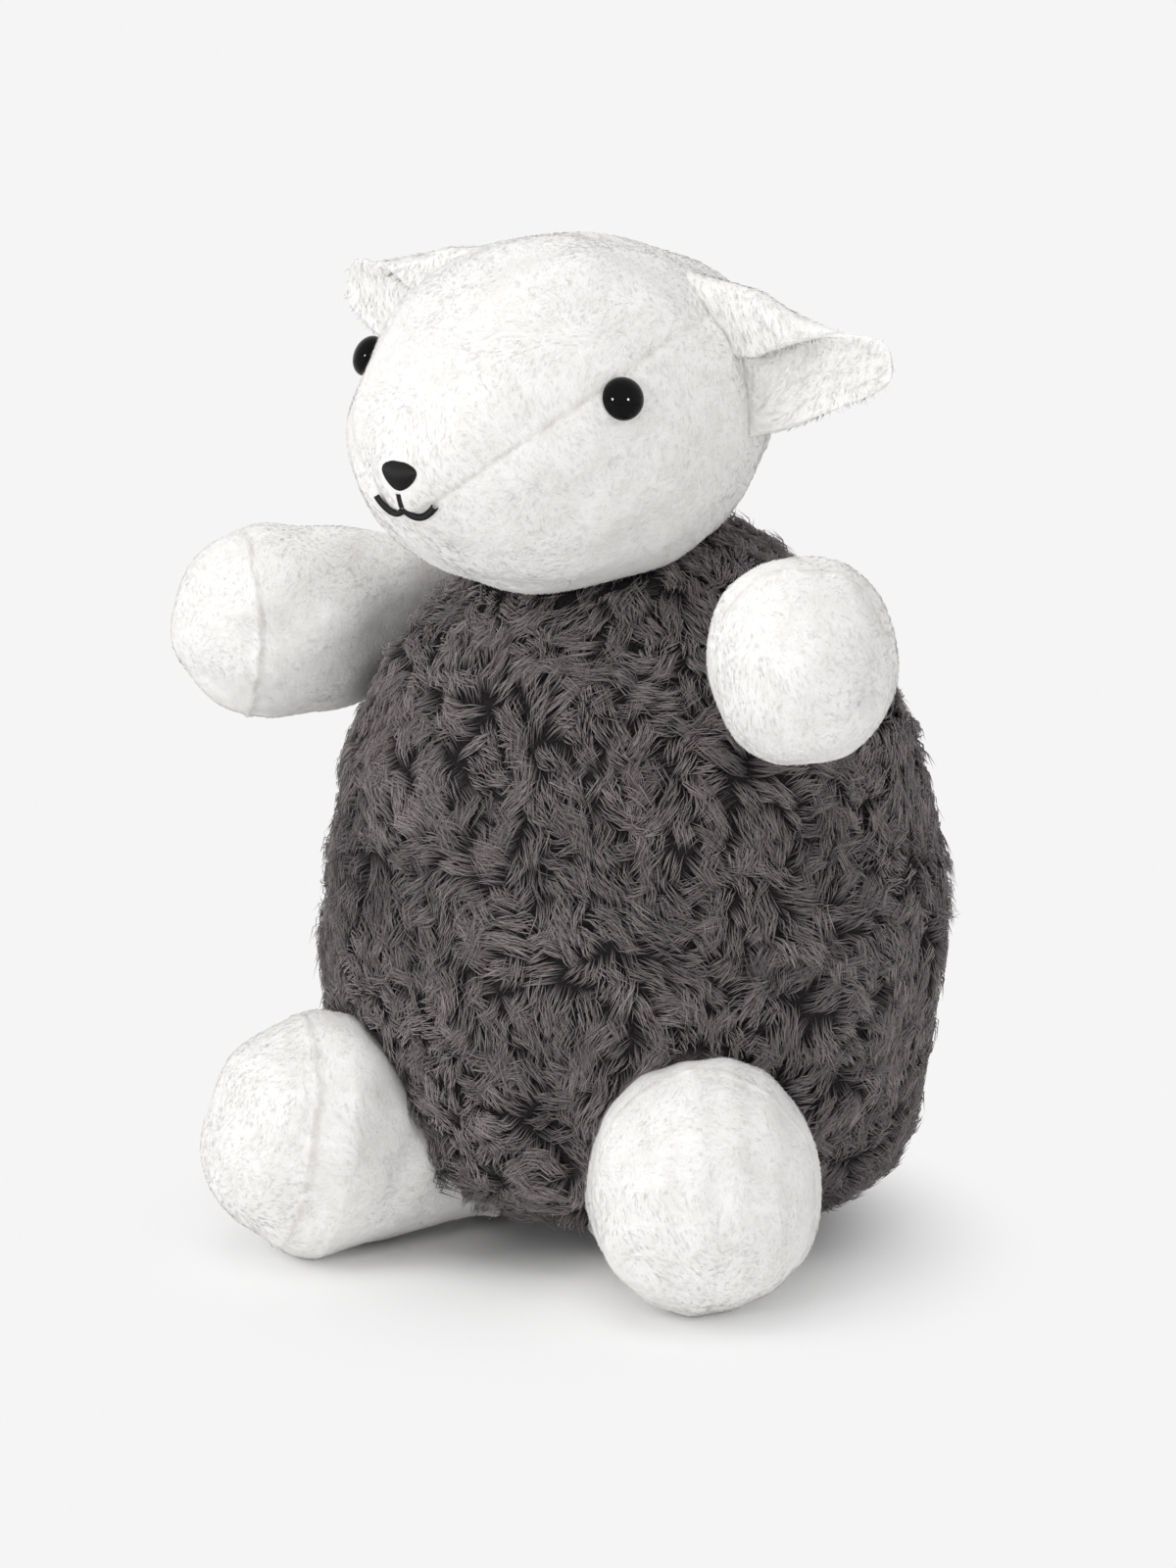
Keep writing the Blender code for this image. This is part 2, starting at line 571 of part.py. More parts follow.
def make_ear(side, head_outside):
    sign = SIDES[side]
    root_direction = Vector((sign * EAR_ROOT_DIRECTION_SHARES[0],
                             *EAR_ROOT_DIRECTION_SHARES[1:]))
    root = head_point(root_direction)
    lean = math.radians(EAR_ROOT_LEAN_ANGLE)
    hinge = Vector((-sign * math.sin(lean), 0.0, math.cos(lean)))
    out = Vector((sign * EAR_LENGTH, EAR_BACK, EAR_RISE)).normalized()
    front = out.cross(hinge).normalized() * sign
    wide = front.cross(out) * sign
    frame = new_empty("ear_" + side + "_root", Matrix.Translation(root), HEAD_FRAME)

    def section(across, share):
        height, ahead = ear_fold(across, share)
        return wide * EAR_HALF_HEIGHT * height + front * EAR_FOLD_DEPTH * ahead

    def layer_place(level):
        def place(unit):
            ring = math.hypot(unit.x, unit.y)
            share = (1.0 + unit.z) / 2.0
            full = ring ** EAR_FULL_SHARE
            taper = 1.0 - (1.0 - EAR_TIP_SHARE) * share
            layer = EAR_LAYER * taper
            round_share = math.atan2(abs(unit.y), unit.x) / math.pi if ring > MERGE else 0.5
            across = 1.0 - 2.0 * round_share
            step = 2.0 / EAR_AROUND_STEPS
            slope = (section(min(across + step, 1.0), share)
                     - section(max(across - step, -1.0), share)).normalized()
            thick = unit.y / ring if ring > 0.0 else 0.0
            run = share * (EAR_LENGTH + EAR_ROOT_DEPTH) - EAR_ROOT_DEPTH
            depth = level * (layer + GAP) / 2.0 + thick * full * layer / 2.0
            middle = out * run + section(across, share) * full * taper
            return middle - out.cross(slope) * sign * depth
        return place

    clearances = [head_outside]
    for i, angle in enumerate((EAR_FLAP_ANGLE, -EAR_FLAP_ANGLE)):
        place = turn_about(root, hinge, angle)
        clearances.append(turned_copy(head_outside, f"ear_clearance_{side}_{i}", place))
    for name, level in (("outer", 1.0), ("inner", -1.0)):
        layer = shaped_sphere(f"ear_{side}_{name}", EAR_AROUND_STEPS, EAR_ALONG_STEPS,
                              layer_place(level), PARTS, frame)
        finish(layer, "white_plush")
        for cutter in clearances:
            cut(layer, cutter)


def limb_place(limb, depth):
    """How a limb's form follows its sleeve and dome, all its sizes less a depth."""
    thin = limb["root_half_thickness"]
    start = 0.0
    if depth > 0.0:
        swell = (depth + CAVITY_HALF_THICKNESS - thin) / (limb["half_thickness"] - thin)
        start = 2.0 / math.pi * math.asin(min(1.0, max(0.0, swell)))
    first_ring = math.sin(math.pi / LIMB_ALONG_STEPS)

    def place(unit):
        ring = math.hypot(unit.x, unit.y)
        across = unit.x / ring if ring > 0.0 else 0.0
        over = unit.y / ring if ring > 0.0 else 0.0
        if unit.z > 0.0:
            middle = limb["centre"] + limb["out"] * (limb["dome"] - depth) * unit.z
            half_width = (limb["half_width"] - depth) * ring
            half_thickness = (limb["half_thickness"] - depth) * ring
            swell = 1.0
        else:
            share = start + (1.0 - start) * (1.0 + unit.z)
            swell = math.sin(math.pi / 2.0 * share)
            middle = limb["root"].lerp(limb["centre"], share)
            middle.z = limb["root"].z + (limb["centre"].z - limb["root"].z) * swell
            opened = min(1.0, ring / first_ring)
            wide = limb["root_half_width"]
            half_width = (wide + (limb["half_width"] - wide) * swell - depth) * opened
            half_thickness = (thin + (limb["half_thickness"] - thin) * swell - depth) * opened
        wide_way = limb["root_wide"].lerp(limb["wide"], swell)
        thick_way = limb["root_thick"].lerp(limb["thick"], swell)
        point = middle + wide_way * half_width * across + thick_way * half_thickness * over
        return point - limb["hinge_point"]
    return place


def make_limb(limb, clearances):
    """A limb's sleeve, end pad and filling, cut to clear what lies next to them."""
    name = limb["name"]
    frame = new_empty(name + "_root", Matrix.Translation(limb["hinge_point"]))

    def form(form_name, depth, collection):
        return shaped_sphere(form_name, LIMB_AROUND_STEPS, LIMB_ALONG_STEPS,
                             limb_place(limb, depth), collection, frame)

    cavity = as_cutter(form(name + "_cavity_cutter", PILE_THICKNESS, CUTTERS))
    seam = limb["centre"] + limb["out"] * limb["seam"]
    past_seam = block_behind(name + "_end_cutter", seam, limb["out"])
    before_seam = block_behind(name + "_sleeve_cutter", seam + limb["out"] * GAP, -limb["out"])
    sleeve = form(name + "_sleeve", 0.0, PARTS)
    end_pad = form(name + "_end_pad", 0.0, PARTS)
    filling = form(name + "_filling", PILE_THICKNESS + STUFFING_GAP, PARTS)
    cut(sleeve, cavity)
    cut(end_pad, cavity)
    cut(sleeve, past_seam)
    cut(end_pad, before_seam)
    for piece in (sleeve, end_pad, filling):
        for cutter in clearances:
            cut(piece, cutter)
    finish(sleeve, "white_plush")
    finish(end_pad, "white_plush")
    finish(filling, "fibre_filling")


def arm_limb(side, hand_rise):
    sign = SIDES[side]
    radius = radius_at(body_outline(), ARM_ROOT_HEIGHT)
    outward = Vector((sign * math.sqrt(radius ** 2 - SIDE_SEAM_FORWARD ** 2),
                      -SIDE_SEAM_FORWARD, 0.0))
    hinge_point = outward + UP * ARM_ROOT_HEIGHT
    lean = math.radians(ARM_ROOT_LEAN_ANGLE)
    away = outward.normalized()
    hinge = UP * math.cos(lean) - away * math.sin(lean)
    angle = math.radians(HAND_ANGLE)
    out = Vector((sign * math.sin(angle), -math.cos(angle), 0.0))
    centre = hinge_point + Vector((sign * HAND_OUT, -HAND_AHEAD, hand_rise))
    along = (centre - hinge_point).normalized()
    return {
        "name": "arm_" + side, "hinge_point": hinge_point, "hinge": hinge,
        "root": hinge_point - along * ROOT_SINK, "centre": centre, "out": out,
        "root_wide": hinge, "root_thick": along.cross(hinge).normalized(),
        "wide": UP, "thick": out.cross(UP),
        "root_half_width": ARM_ROOT_HALF_WIDTH, "root_half_thickness": ROOT_HALF_THICKNESS,
        "half_width": HAND_HALF_WIDTH, "half_thickness": HAND_HALF_THICKNESS,
        "dome": HAND_DOME, "seam": HAND_SEAM}


def leg_limb(side, root_shares, root_angle, foot_out, foot_ahead):
    sign = SIDES[side]
    hinge_point = Vector((sign * BODY_RADIUS * root_shares[0], -BODY_RADIUS * root_shares[1],
                          LEG_ROOT_HEIGHT))
    lean = math.radians(root_angle)
    hinge = Vector((math.cos(lean), sign * math.sin(lean), 0.0))
    angle = math.radians(FOOT_ANGLE)
    ahead = Vector((sign * math.sin(angle), -math.cos(angle), 0.0))
    tip_up = math.radians(FOOT_TIP_ANGLE)
    out = ahead * math.cos(tip_up) + UP * math.sin(tip_up)
    wide = UP.cross(ahead)
    centre = hinge_point + Vector((sign * foot_out, -foot_ahead, 0.0))
    centre.z = FOOT_HALF_THICKNESS - FLOOR_FLAT
    along = (centre - hinge_point).normalized()
    return {
        "name": "leg_" + side, "hinge_point": hinge_point, "hinge": hinge,
        "root": hinge_point - along * ROOT_SINK, "centre": centre, "out": out,
        "root_wide": hinge, "root_thick": UP,
        "wide": wide, "thick": out.cross(wide),
        "root_half_width": LEG_ROOT_HALF_WIDTH, "root_half_thickness": ROOT_HALF_THICKNESS,
        "half_width": FOOT_HALF_WIDTH, "half_thickness": FOOT_HALF_THICKNESS,
        "dome": FOOT_DOME, "seam": FOOT_SEAM}


def make_arms(body_outside):
    for side, hand_rise in (("left", LEFT_HAND_RISE), ("right", RIGHT_HAND_RISE)):
        sign = SIDES[side]
        limb = arm_limb(side, hand_rise)
        clearances = [body_outside]
        for i, angle in enumerate((ARM_FORWARD_ANGLE * sign, -ARM_BACK_ANGLE * sign)):
            place = turn_about(limb["hinge_point"], limb["hinge"], angle)
            clearances.append(turned_copy(body_outside, f"arm_clearance_{side}_{i}", place))
        make_limb(limb, clearances)


def make_legs(body_outside):
    floor = block_behind("floor_cutter", Vector((0.0, 0.0, 0.0)), -UP)
    limbs = {
        "left": leg_limb("left", LEFT_ROOT_SHARES, LEFT_ROOT_ANGLE, LEFT_FOOT_OUT,
                         LEFT_FOOT_AHEAD),
        "right": leg_limb("right", RIGHT_ROOT_SHARES, RIGHT_ROOT_ANGLE, RIGHT_FOOT_OUT,
                          RIGHT_FOOT_AHEAD)}
    for side, limb in limbs.items():
        place = turn_about(limb["hinge_point"], limb["hinge"], -LEG_DOWN_ANGLE)
        lowered = turned_copy(body_outside, "leg_clearance_" + side, place)
        make_limb(limb, [body_outside, lowered, floor])


clear_scene()
PARTS = new_collection("plush_sheep")
CUTTERS = new_collection("plush_sheep_cutters")
neck_axis = (HEAD_CENTRE - NECK_CENTRE).normalized()
neck_turn = UP.rotation_difference(neck_axis).to_matrix().to_4x4()
NECK_PLACE = Matrix.Translation(NECK_CENTRE) @ neck_turn
NECK_FRAME = new_empty("neck_frame", NECK_PLACE)
HEAD_FRAME = new_empty("head_frame", Matrix.Translation(HEAD_CENTRE)
                       @ Matrix.Rotation(math.radians(HEAD_ROLL_ANGLE), 4, "Y"))
make_body()
make_head()
head_outside = as_cutter(head_form("head_outside_cutter", -GAP, CUTTERS))
for ear_side in SIDES:
    make_ear(ear_side, head_outside)
body_outside_form = body_form("body_outside_cutter", -GAP)
make_arms(body_outside_form)
make_legs(body_outside_form)
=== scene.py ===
import json
import math

import bpy
import numpy as np
from mathutils import Matrix, Vector
from mathutils.bvhtree import BVHTree
from mathutils.kdtree import KDTree
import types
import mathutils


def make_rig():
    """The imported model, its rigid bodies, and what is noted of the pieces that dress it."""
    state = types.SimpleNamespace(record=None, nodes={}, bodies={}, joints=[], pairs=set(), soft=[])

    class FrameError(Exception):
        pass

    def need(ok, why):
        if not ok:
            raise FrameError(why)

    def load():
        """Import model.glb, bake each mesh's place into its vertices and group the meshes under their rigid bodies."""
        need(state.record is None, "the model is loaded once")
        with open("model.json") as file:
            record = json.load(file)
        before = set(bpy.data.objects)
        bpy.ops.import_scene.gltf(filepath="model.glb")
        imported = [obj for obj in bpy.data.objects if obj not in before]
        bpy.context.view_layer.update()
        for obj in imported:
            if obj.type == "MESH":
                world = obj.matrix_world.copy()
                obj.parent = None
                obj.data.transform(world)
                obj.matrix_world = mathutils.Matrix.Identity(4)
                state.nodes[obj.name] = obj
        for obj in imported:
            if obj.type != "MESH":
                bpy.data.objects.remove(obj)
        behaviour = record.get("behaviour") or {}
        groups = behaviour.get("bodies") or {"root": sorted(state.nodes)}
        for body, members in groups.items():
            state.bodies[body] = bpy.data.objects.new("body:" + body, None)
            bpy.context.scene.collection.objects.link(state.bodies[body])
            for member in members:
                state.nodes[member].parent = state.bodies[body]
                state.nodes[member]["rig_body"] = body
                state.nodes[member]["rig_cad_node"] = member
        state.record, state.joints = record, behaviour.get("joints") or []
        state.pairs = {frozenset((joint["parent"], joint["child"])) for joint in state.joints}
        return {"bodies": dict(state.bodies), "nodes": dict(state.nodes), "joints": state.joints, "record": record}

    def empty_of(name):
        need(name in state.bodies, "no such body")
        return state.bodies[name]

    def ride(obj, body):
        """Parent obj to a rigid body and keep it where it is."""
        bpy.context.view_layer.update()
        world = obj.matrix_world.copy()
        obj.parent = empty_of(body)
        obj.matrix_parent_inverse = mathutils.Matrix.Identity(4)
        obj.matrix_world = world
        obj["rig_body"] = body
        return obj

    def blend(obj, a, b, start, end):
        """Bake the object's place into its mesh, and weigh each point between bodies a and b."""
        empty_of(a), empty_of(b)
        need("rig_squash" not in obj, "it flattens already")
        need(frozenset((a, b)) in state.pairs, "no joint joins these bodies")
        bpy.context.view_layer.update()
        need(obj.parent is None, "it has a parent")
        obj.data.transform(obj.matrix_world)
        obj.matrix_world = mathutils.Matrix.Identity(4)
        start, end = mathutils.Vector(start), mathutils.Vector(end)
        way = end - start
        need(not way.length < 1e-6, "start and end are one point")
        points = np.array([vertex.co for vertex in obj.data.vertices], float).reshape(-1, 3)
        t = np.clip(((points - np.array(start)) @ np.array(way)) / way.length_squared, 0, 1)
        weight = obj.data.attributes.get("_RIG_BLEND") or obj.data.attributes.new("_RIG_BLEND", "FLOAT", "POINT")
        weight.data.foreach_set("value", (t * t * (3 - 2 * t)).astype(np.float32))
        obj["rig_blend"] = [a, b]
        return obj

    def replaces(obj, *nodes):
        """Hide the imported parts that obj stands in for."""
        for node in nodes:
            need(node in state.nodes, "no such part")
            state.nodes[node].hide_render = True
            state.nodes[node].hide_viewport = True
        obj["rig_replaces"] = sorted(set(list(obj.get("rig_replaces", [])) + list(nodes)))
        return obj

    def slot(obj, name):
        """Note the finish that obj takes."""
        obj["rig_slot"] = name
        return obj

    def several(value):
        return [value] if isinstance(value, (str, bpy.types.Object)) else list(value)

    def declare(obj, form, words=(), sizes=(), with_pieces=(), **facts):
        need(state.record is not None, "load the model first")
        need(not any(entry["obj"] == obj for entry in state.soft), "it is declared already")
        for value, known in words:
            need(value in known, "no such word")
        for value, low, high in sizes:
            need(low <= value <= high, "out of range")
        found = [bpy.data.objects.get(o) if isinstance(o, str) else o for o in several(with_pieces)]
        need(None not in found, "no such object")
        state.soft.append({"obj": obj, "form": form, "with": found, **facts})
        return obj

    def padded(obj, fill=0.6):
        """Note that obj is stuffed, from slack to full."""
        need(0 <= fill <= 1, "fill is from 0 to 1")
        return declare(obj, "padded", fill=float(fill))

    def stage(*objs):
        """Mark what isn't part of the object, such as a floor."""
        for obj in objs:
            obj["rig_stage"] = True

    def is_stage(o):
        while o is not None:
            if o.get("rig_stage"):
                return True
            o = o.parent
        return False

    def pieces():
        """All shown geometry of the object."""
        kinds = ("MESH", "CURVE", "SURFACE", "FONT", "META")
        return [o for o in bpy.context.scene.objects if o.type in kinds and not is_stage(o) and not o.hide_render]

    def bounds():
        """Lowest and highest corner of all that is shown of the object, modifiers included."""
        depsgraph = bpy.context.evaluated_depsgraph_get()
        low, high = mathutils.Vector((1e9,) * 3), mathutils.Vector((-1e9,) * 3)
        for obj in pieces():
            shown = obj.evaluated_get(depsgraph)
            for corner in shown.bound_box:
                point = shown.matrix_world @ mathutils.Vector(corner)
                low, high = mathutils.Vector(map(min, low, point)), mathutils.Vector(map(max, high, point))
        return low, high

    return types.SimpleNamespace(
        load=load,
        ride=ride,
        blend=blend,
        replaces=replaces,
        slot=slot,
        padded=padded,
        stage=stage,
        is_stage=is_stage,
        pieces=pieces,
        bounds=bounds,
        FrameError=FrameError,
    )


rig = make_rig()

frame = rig.load()
cad_low, cad_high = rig.bounds()


# Camera, floor and light
# A plain studio: a pale floor that fades into a background of the same tone, a large soft
# lamp ahead of the toy's right side, two small ones before it, one overhead, and an even
# light from all round. The two glint lamps show only as the bright spots in the eyes. Only
# the shadow close to the toy shows on the floor.
CAMERA_AIM = Vector((-0.0136, -0.0099, 0.1598))
CAMERA_AZIMUTH = math.radians(37.2)
CAMERA_ELEVATION = math.radians(12.1)
CAMERA_DISTANCE = 1.6
CAMERA_LENS_MM = 99.75
CAMERA_SENSOR_MM = 36.0
BACKGROUND = "F5F5F5"
FLOOR_RADIUS = 3.0
FLOOR_COLOUR = "FAFAFA"
FLOOR_FADE_START = 0.07       # the floor's own shading fades out between these two radii
FLOOR_FADE_END = 0.175
FLOOR_FADE_CENTRE = (0.01, -0.05, 0.0)
WORLD_STRENGTH = 0.52
# Lamps: azimuth and elevation in degrees, distance, size and power in watts
LAMPS = {"key_lamp": (-32.0, 32.0, 2.6, 1.3, 18.6),
         "right_front_lamp": (1.5, 12.0, 2.2, 0.27, 5.8),
         "left_front_lamp": (80.0, 12.0, 2.2, 0.24, 4.4),
         "top_lamp": (20.0, 76.0, 2.1, 1.2, 10.4),
         "right_glint": (9.0, 15.0, 2.2, 0.34, 38.0),
         "left_glint": (80.0, 15.0, 2.2, 0.26, 22.0)}

bpy.context.scene.view_settings.view_transform = "Standard"


def linear(hex_colour):
    """A hex sRGB colour as linear red, green, blue and alpha."""
    shares = [int(hex_colour[i:i + 2], 16) / 255.0 for i in (0, 2, 4)]
    return tuple(s / 12.92 if s <= 0.04045 else ((s + 0.055) / 1.055) ** 2.4
                 for s in shares) + (1.0,)


def set_inputs(tree, node, inputs):
    """Sets a node's sockets, or links those that are given another node's output."""
    for name, value in inputs.items():
        if isinstance(value, bpy.types.NodeSocket):
            tree.links.new(value, node.inputs[name])
        else:
            node.inputs[name].default_value = value


def add_node(tree, kind, inputs=None, **settings):
    """Adds a shader node with its settings, and its sockets set or linked."""
    node = tree.nodes.new("ShaderNode" + kind)
    for name, value in settings.items():
        setattr(node, name, value)
    set_inputs(tree, node, inputs or {})
    return node


def new_material(name):
    """A new material, its node tree and its Principled shader."""
    material = bpy.data.materials.new(name)
    material.use_nodes = True
    tree = material.node_tree
    return material, tree, tree.nodes["Principled BSDF"]


def direction_of(azimuth, elevation):
    """Unit vector from the toy, azimuth 0 being straight ahead of it and 90 its left."""
    return Vector((math.sin(azimuth) * math.cos(elevation),
                   -math.cos(azimuth) * math.cos(elevation), math.sin(elevation)))


camera_data = bpy.data.cameras.new("camera")
camera_data.lens = CAMERA_LENS_MM
camera_data.sensor_width = CAMERA_SENSOR_MM
camera = bpy.data.objects.new("camera", camera_data)
bpy.context.scene.collection.objects.link(camera)
camera_back = direction_of(CAMERA_AZIMUTH, CAMERA_ELEVATION)
camera.location = CAMERA_AIM + camera_back * CAMERA_DISTANCE
camera.rotation_euler = (-camera_back).to_track_quat("-Z", "Y").to_euler()
bpy.context.scene.camera = camera

world = bpy.data.worlds.new("studio")
bpy.context.scene.world = world
world.use_nodes = True
world_tree = world.node_tree
rays = add_node(world_tree, "LightPath")
seen = add_node(world_tree, "Math", {0: rays.outputs["Is Camera Ray"],
                                     1: rays.outputs["Is Transmission Ray"]},
                operation="MAXIMUM")
seen = add_node(world_tree, "Math", {0: seen.outputs[0], 1: rays.outputs["Is Glossy Ray"]},
                operation="MAXIMUM")
light_around = add_node(world_tree, "Background", {"Color": (1.0, 1.0, 1.0, 1.0),
                                                   "Strength": WORLD_STRENGTH})
backdrop = add_node(world_tree, "Background", {"Color": linear(BACKGROUND), "Strength": 1.0})
either = add_node(world_tree, "MixShader", {0: seen.outputs[0], 1: light_around.outputs[0],
                                            2: backdrop.outputs[0]})
world_tree.links.new(either.outputs[0], world_tree.nodes["World Output"].inputs["Surface"])

for name, (azimuth, elevation, distance, size, power) in LAMPS.items():
    lamp_data = bpy.data.lights.new(name, "AREA")
    lamp_data.size = size
    lamp_data.energy = power
    lamp = bpy.data.objects.new(name, lamp_data)
    bpy.context.scene.collection.objects.link(lamp)
    lamp.visible_glossy = name.endswith("glint")
    lamp.visible_diffuse = not name.endswith("glint")
    way = direction_of(math.radians(azimuth), math.radians(elevation))
    lamp.location = CAMERA_AIM + way * distance
    lamp.rotation_euler = (-way).to_track_quat("-Z", "Y").to_euler()

# Matt white paper: even, with next to no gloss, so only the toy's shadow marks it.
bpy.ops.mesh.primitive_circle_add(vertices=96, radius=FLOOR_RADIUS, fill_type="NGON")
floor = bpy.context.object
floor.name = "floor"
floor_material, tree, shader = new_material("matt_paper_floor")
set_inputs(tree, shader, {"Base Color": linear(FLOOR_COLOUR), "Roughness": 0.9,
                          "Specular IOR Level": 0.1})
place_on_floor = add_node(tree, "TexCoord")
distance = add_node(tree, "VectorMath", {0: place_on_floor.outputs["Object"],
                                         1: FLOOR_FADE_CENTRE}, operation="DISTANCE")
fade = add_node(tree, "MapRange", {"Value": distance.outputs["Value"],
                                   "From Min": FLOOR_FADE_START, "From Max": FLOOR_FADE_END},
                interpolation_type="SMOOTHSTEP")
rays = add_node(tree, "LightPath")
seen = add_node(tree, "Math", {0: fade.outputs["Result"], 1: rays.outputs["Is Camera Ray"]},
                operation="MULTIPLY")
plain = add_node(tree, "Emission", {"Color": linear(BACKGROUND), "Strength": 1.0})
either = add_node(tree, "MixShader", {0: seen.outputs[0], 1: shader.outputs[0],
                                      2: plain.outputs[0]})
tree.links.new(either.outputs[0], tree.nodes["Material Output"].inputs["Surface"])
floor.data.materials.append(floor_material)
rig.stage(floor)


# Body backing
# The knitted backing of the grey fleece, filled tight with fibre over a bag of pellets. It
# is painted dark, as shade under the pile, and hardly shows: the fleece's locks, further
# down, grow from it.
FLEECE_DEPTH = 0.0044         # the backing lies this far under the top of the pile
BACKING_VOXEL = 0.003
BACKING_SMOOTHING = 12
BACKING_LUMP = 0.0011
BACKING_LUMP_SIZE = 0.032
BODY_NODES = ("body_front_panel", "body_back_panel", "base_panel", "body_filling",
              "pellet_bag")


def merged_copy(name, nodes):
    """One new object from copies of CAD nodes."""
    bpy.ops.object.select_all(action="DESELECT")
    for node in nodes:
        copy = bpy.data.objects.new(name, frame["nodes"][node].data.copy())
        bpy.context.scene.collection.objects.link(copy)
        copy.select_set(True)
        bpy.context.view_layer.objects.active = copy
    bpy.ops.object.join()
    piece = bpy.context.object
    piece.name = name
    piece.data.materials.clear()
    return piece


def apply_modifier(piece, kind, **settings):
    """Adds a modifier with its settings and applies it."""
    bpy.context.view_layer.objects.active = piece
    modifier = piece.modifiers.new(kind.lower(), kind)
    for name, value in settings.items():
        setattr(modifier, name, value)
    bpy.ops.object.modifier_apply(modifier=modifier.name)


def vertex_values(mesh, value):
    """A vector value of every vertex, such as co or normal, as an array."""
    values = np.empty(len(mesh.vertices) * 3, np.float32)
    mesh.vertices.foreach_get(value, values)
    return values.reshape(-1, 3).astype(float)


def place_vertices(mesh, places):
    mesh.vertices.foreach_set("co", places.astype(np.float32).ravel())
    mesh.update()


def drift(points, size, seed):
    """A smooth random vector at each point, which changes over about the size given."""
    random = np.random.default_rng(seed)
    count = 28
    waves = random.normal(size=(3, count)) * (2.0 * math.pi / size / math.sqrt(3.0))
    phases = random.random(count) * 2.0 * math.pi
    mix = random.normal(size=(count, 3)) / math.sqrt(count / 2.0)
    return np.sin(points @ waves + phases) @ mix


body_skin = merged_copy("body_outside", BODY_NODES)
body_skin.data.remesh_voxel_size = BACKING_VOXEL
bpy.ops.object.voxel_remesh()
apply_modifier(body_skin, "SMOOTH", factor=0.5, iterations=BACKING_SMOOTHING)


def surface_of(piece):
    """A piece's surface to look places up on, with the corners of its box."""
    places = vertex_values(piece.data, "co")
    tree = BVHTree.FromPolygons([v.co for v in piece.data.vertices],
                                [p.vertices for p in piece.data.polygons])
    return tree, places.min(0), places.max(0)


body_surface = surface_of(body_skin)

backing = body_skin
backing.name = "body_backing"
places = vertex_values(backing.data, "co")
normals = vertex_values(backing.data, "normal")
lumps = drift(places, BACKING_LUMP_SIZE, 11)[:, 0] * BACKING_LUMP
places += normals * (lumps - FLEECE_DEPTH)[:, None]
place_vertices(backing.data, places)
backing.data.shade_smooth()

# Knitted backing: matt, and painted nearly black as shade, because little light reaches it
# through the pile. The gaps between its knitted loops are painted darker still, as shade.
# Where an arm or a leg presses on the body it shows flattened pile, matted and paler.
BACKING_PAINTED_SHADE = "302C2E"
BACKING_GAP_SHADE = "1C191B"
BACKING_LOOP = 0.0012         # spacing of the knitted loops
PRESSED_DARK = "4A4447"
PRESSED_PALE = "7D7477"
PRESSED_GRAIN = 0.0045        # width of a matted tuft
backing_material, tree, shader = new_material("knitted_backing_painted_shade")
where = add_node(tree, "TexCoord")
loops = add_node(tree, "TexVoronoi", {"Vector": where.outputs["Object"],
                                      "Scale": 1.0 / BACKING_LOOP})
# Painted shade: dark specks for the gaps between the knitted loops, nearly black elsewhere.
shade = add_node(tree, "ValToRGB", {"Fac": loops.outputs["Distance"]})
shade.color_ramp.elements[0].color = linear(BACKING_GAP_SHADE)
shade.color_ramp.elements[1].color = linear(BACKING_PAINTED_SHADE)
matting = add_node(tree, "TexNoise", {"Vector": where.outputs["Object"],
                                      "Scale": 1.0 / PRESSED_GRAIN, "Detail": 5.0,
                                      "Roughness": 0.65, "Distortion": 1.4})
pressed = add_node(tree, "ValToRGB", {"Fac": matting.outputs["Fac"]})
pressed.color_ramp.elements[0].position = 0.36
pressed.color_ramp.elements[0].color = linear(PRESSED_DARK)
pressed.color_ramp.elements[1].position = 0.64
pressed.color_ramp.elements[1].color = linear(PRESSED_PALE)
bare = add_node(tree, "Attribute", attribute_name="bare")
backing_shade = add_node(tree, "Mix", {
    "Factor": bare.outputs["Fac"], "A": shade.outputs["Color"],
    "B": pressed.outputs["Color"]}, data_type="RGBA")
rough = add_node(tree, "Bump", {"Height": loops.outputs["Distance"], "Strength": 0.5,
                                "Distance": BACKING_LOOP / 2.0})
rough = add_node(tree, "Bump", {"Height": matting.outputs["Fac"], "Strength": 0.8,
                                "Distance": PRESSED_GRAIN / 2.0,
                                "Normal": rough.outputs["Normal"]})
set_inputs(tree, shader, {"Base Color": backing_shade.outputs["Result"], "Roughness": 0.95,
                          "Specular IOR Level": 0.1, "Normal": rough.outputs["Normal"]})
backing.data.materials.append(backing_material)
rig.replaces(backing, *BODY_NODES)
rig.slot(backing, "grey_fleece")
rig.padded(backing, fill=0.85)
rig.ride(backing, "body")


# Head cover
# Short white plush in three panels over the fibre filling: a gusset over the crown and two
# cheeks, sewn along a seam that runs from the nose to each ear. Its underside sits on the
# shoulders as a hollow.
HEAD_CENTRE = Vector((0.0, -0.045, 0.3014))
HEAD_ROLL = math.radians(3.5)
HEAD_HALF_WIDTH = 0.068
HEAD_HALF_LENGTH = 0.088
HEAD_HALF_HEIGHT = 0.063
CHEEK_TAPER_SHARE = 0.16
BROW_TAPER_SHARE = 0.30
CHIN_TAPER_SHARE = 0.18
MUZZLE_DROP = 0.010
GUSSET_RISE = 0.0012
GUSSET_HALF_ANGLE = math.radians(57.6)
GUSSET_TILT = math.radians(19.5)
SHOULDER_BALL_CENTRE = np.array((0.0, 0.0, 0.178))
SHOULDER_BALL_RADIUS = 0.0905
SEAM_DEPTH = 0.0003
SEAM_WIDTH = 0.0010
SEAM_WOBBLE = 0.0005          # how far a seam strays from its line
SEAM_WOBBLE_SIZE = 0.014
SEAM_PUFF = 0.0007            # how far the panels sink towards a seam
SEAM_PUFF_WIDTH = 0.007
CHIN_SEAM_END_SHARE = 0.35    # how far ahead of the head's middle the chin's seam ends
PLUSH_LUMP = 0.0007
PLUSH_LUMP_SIZE = 0.030
SIDES = {"left": 1.0, "right": -1.0}
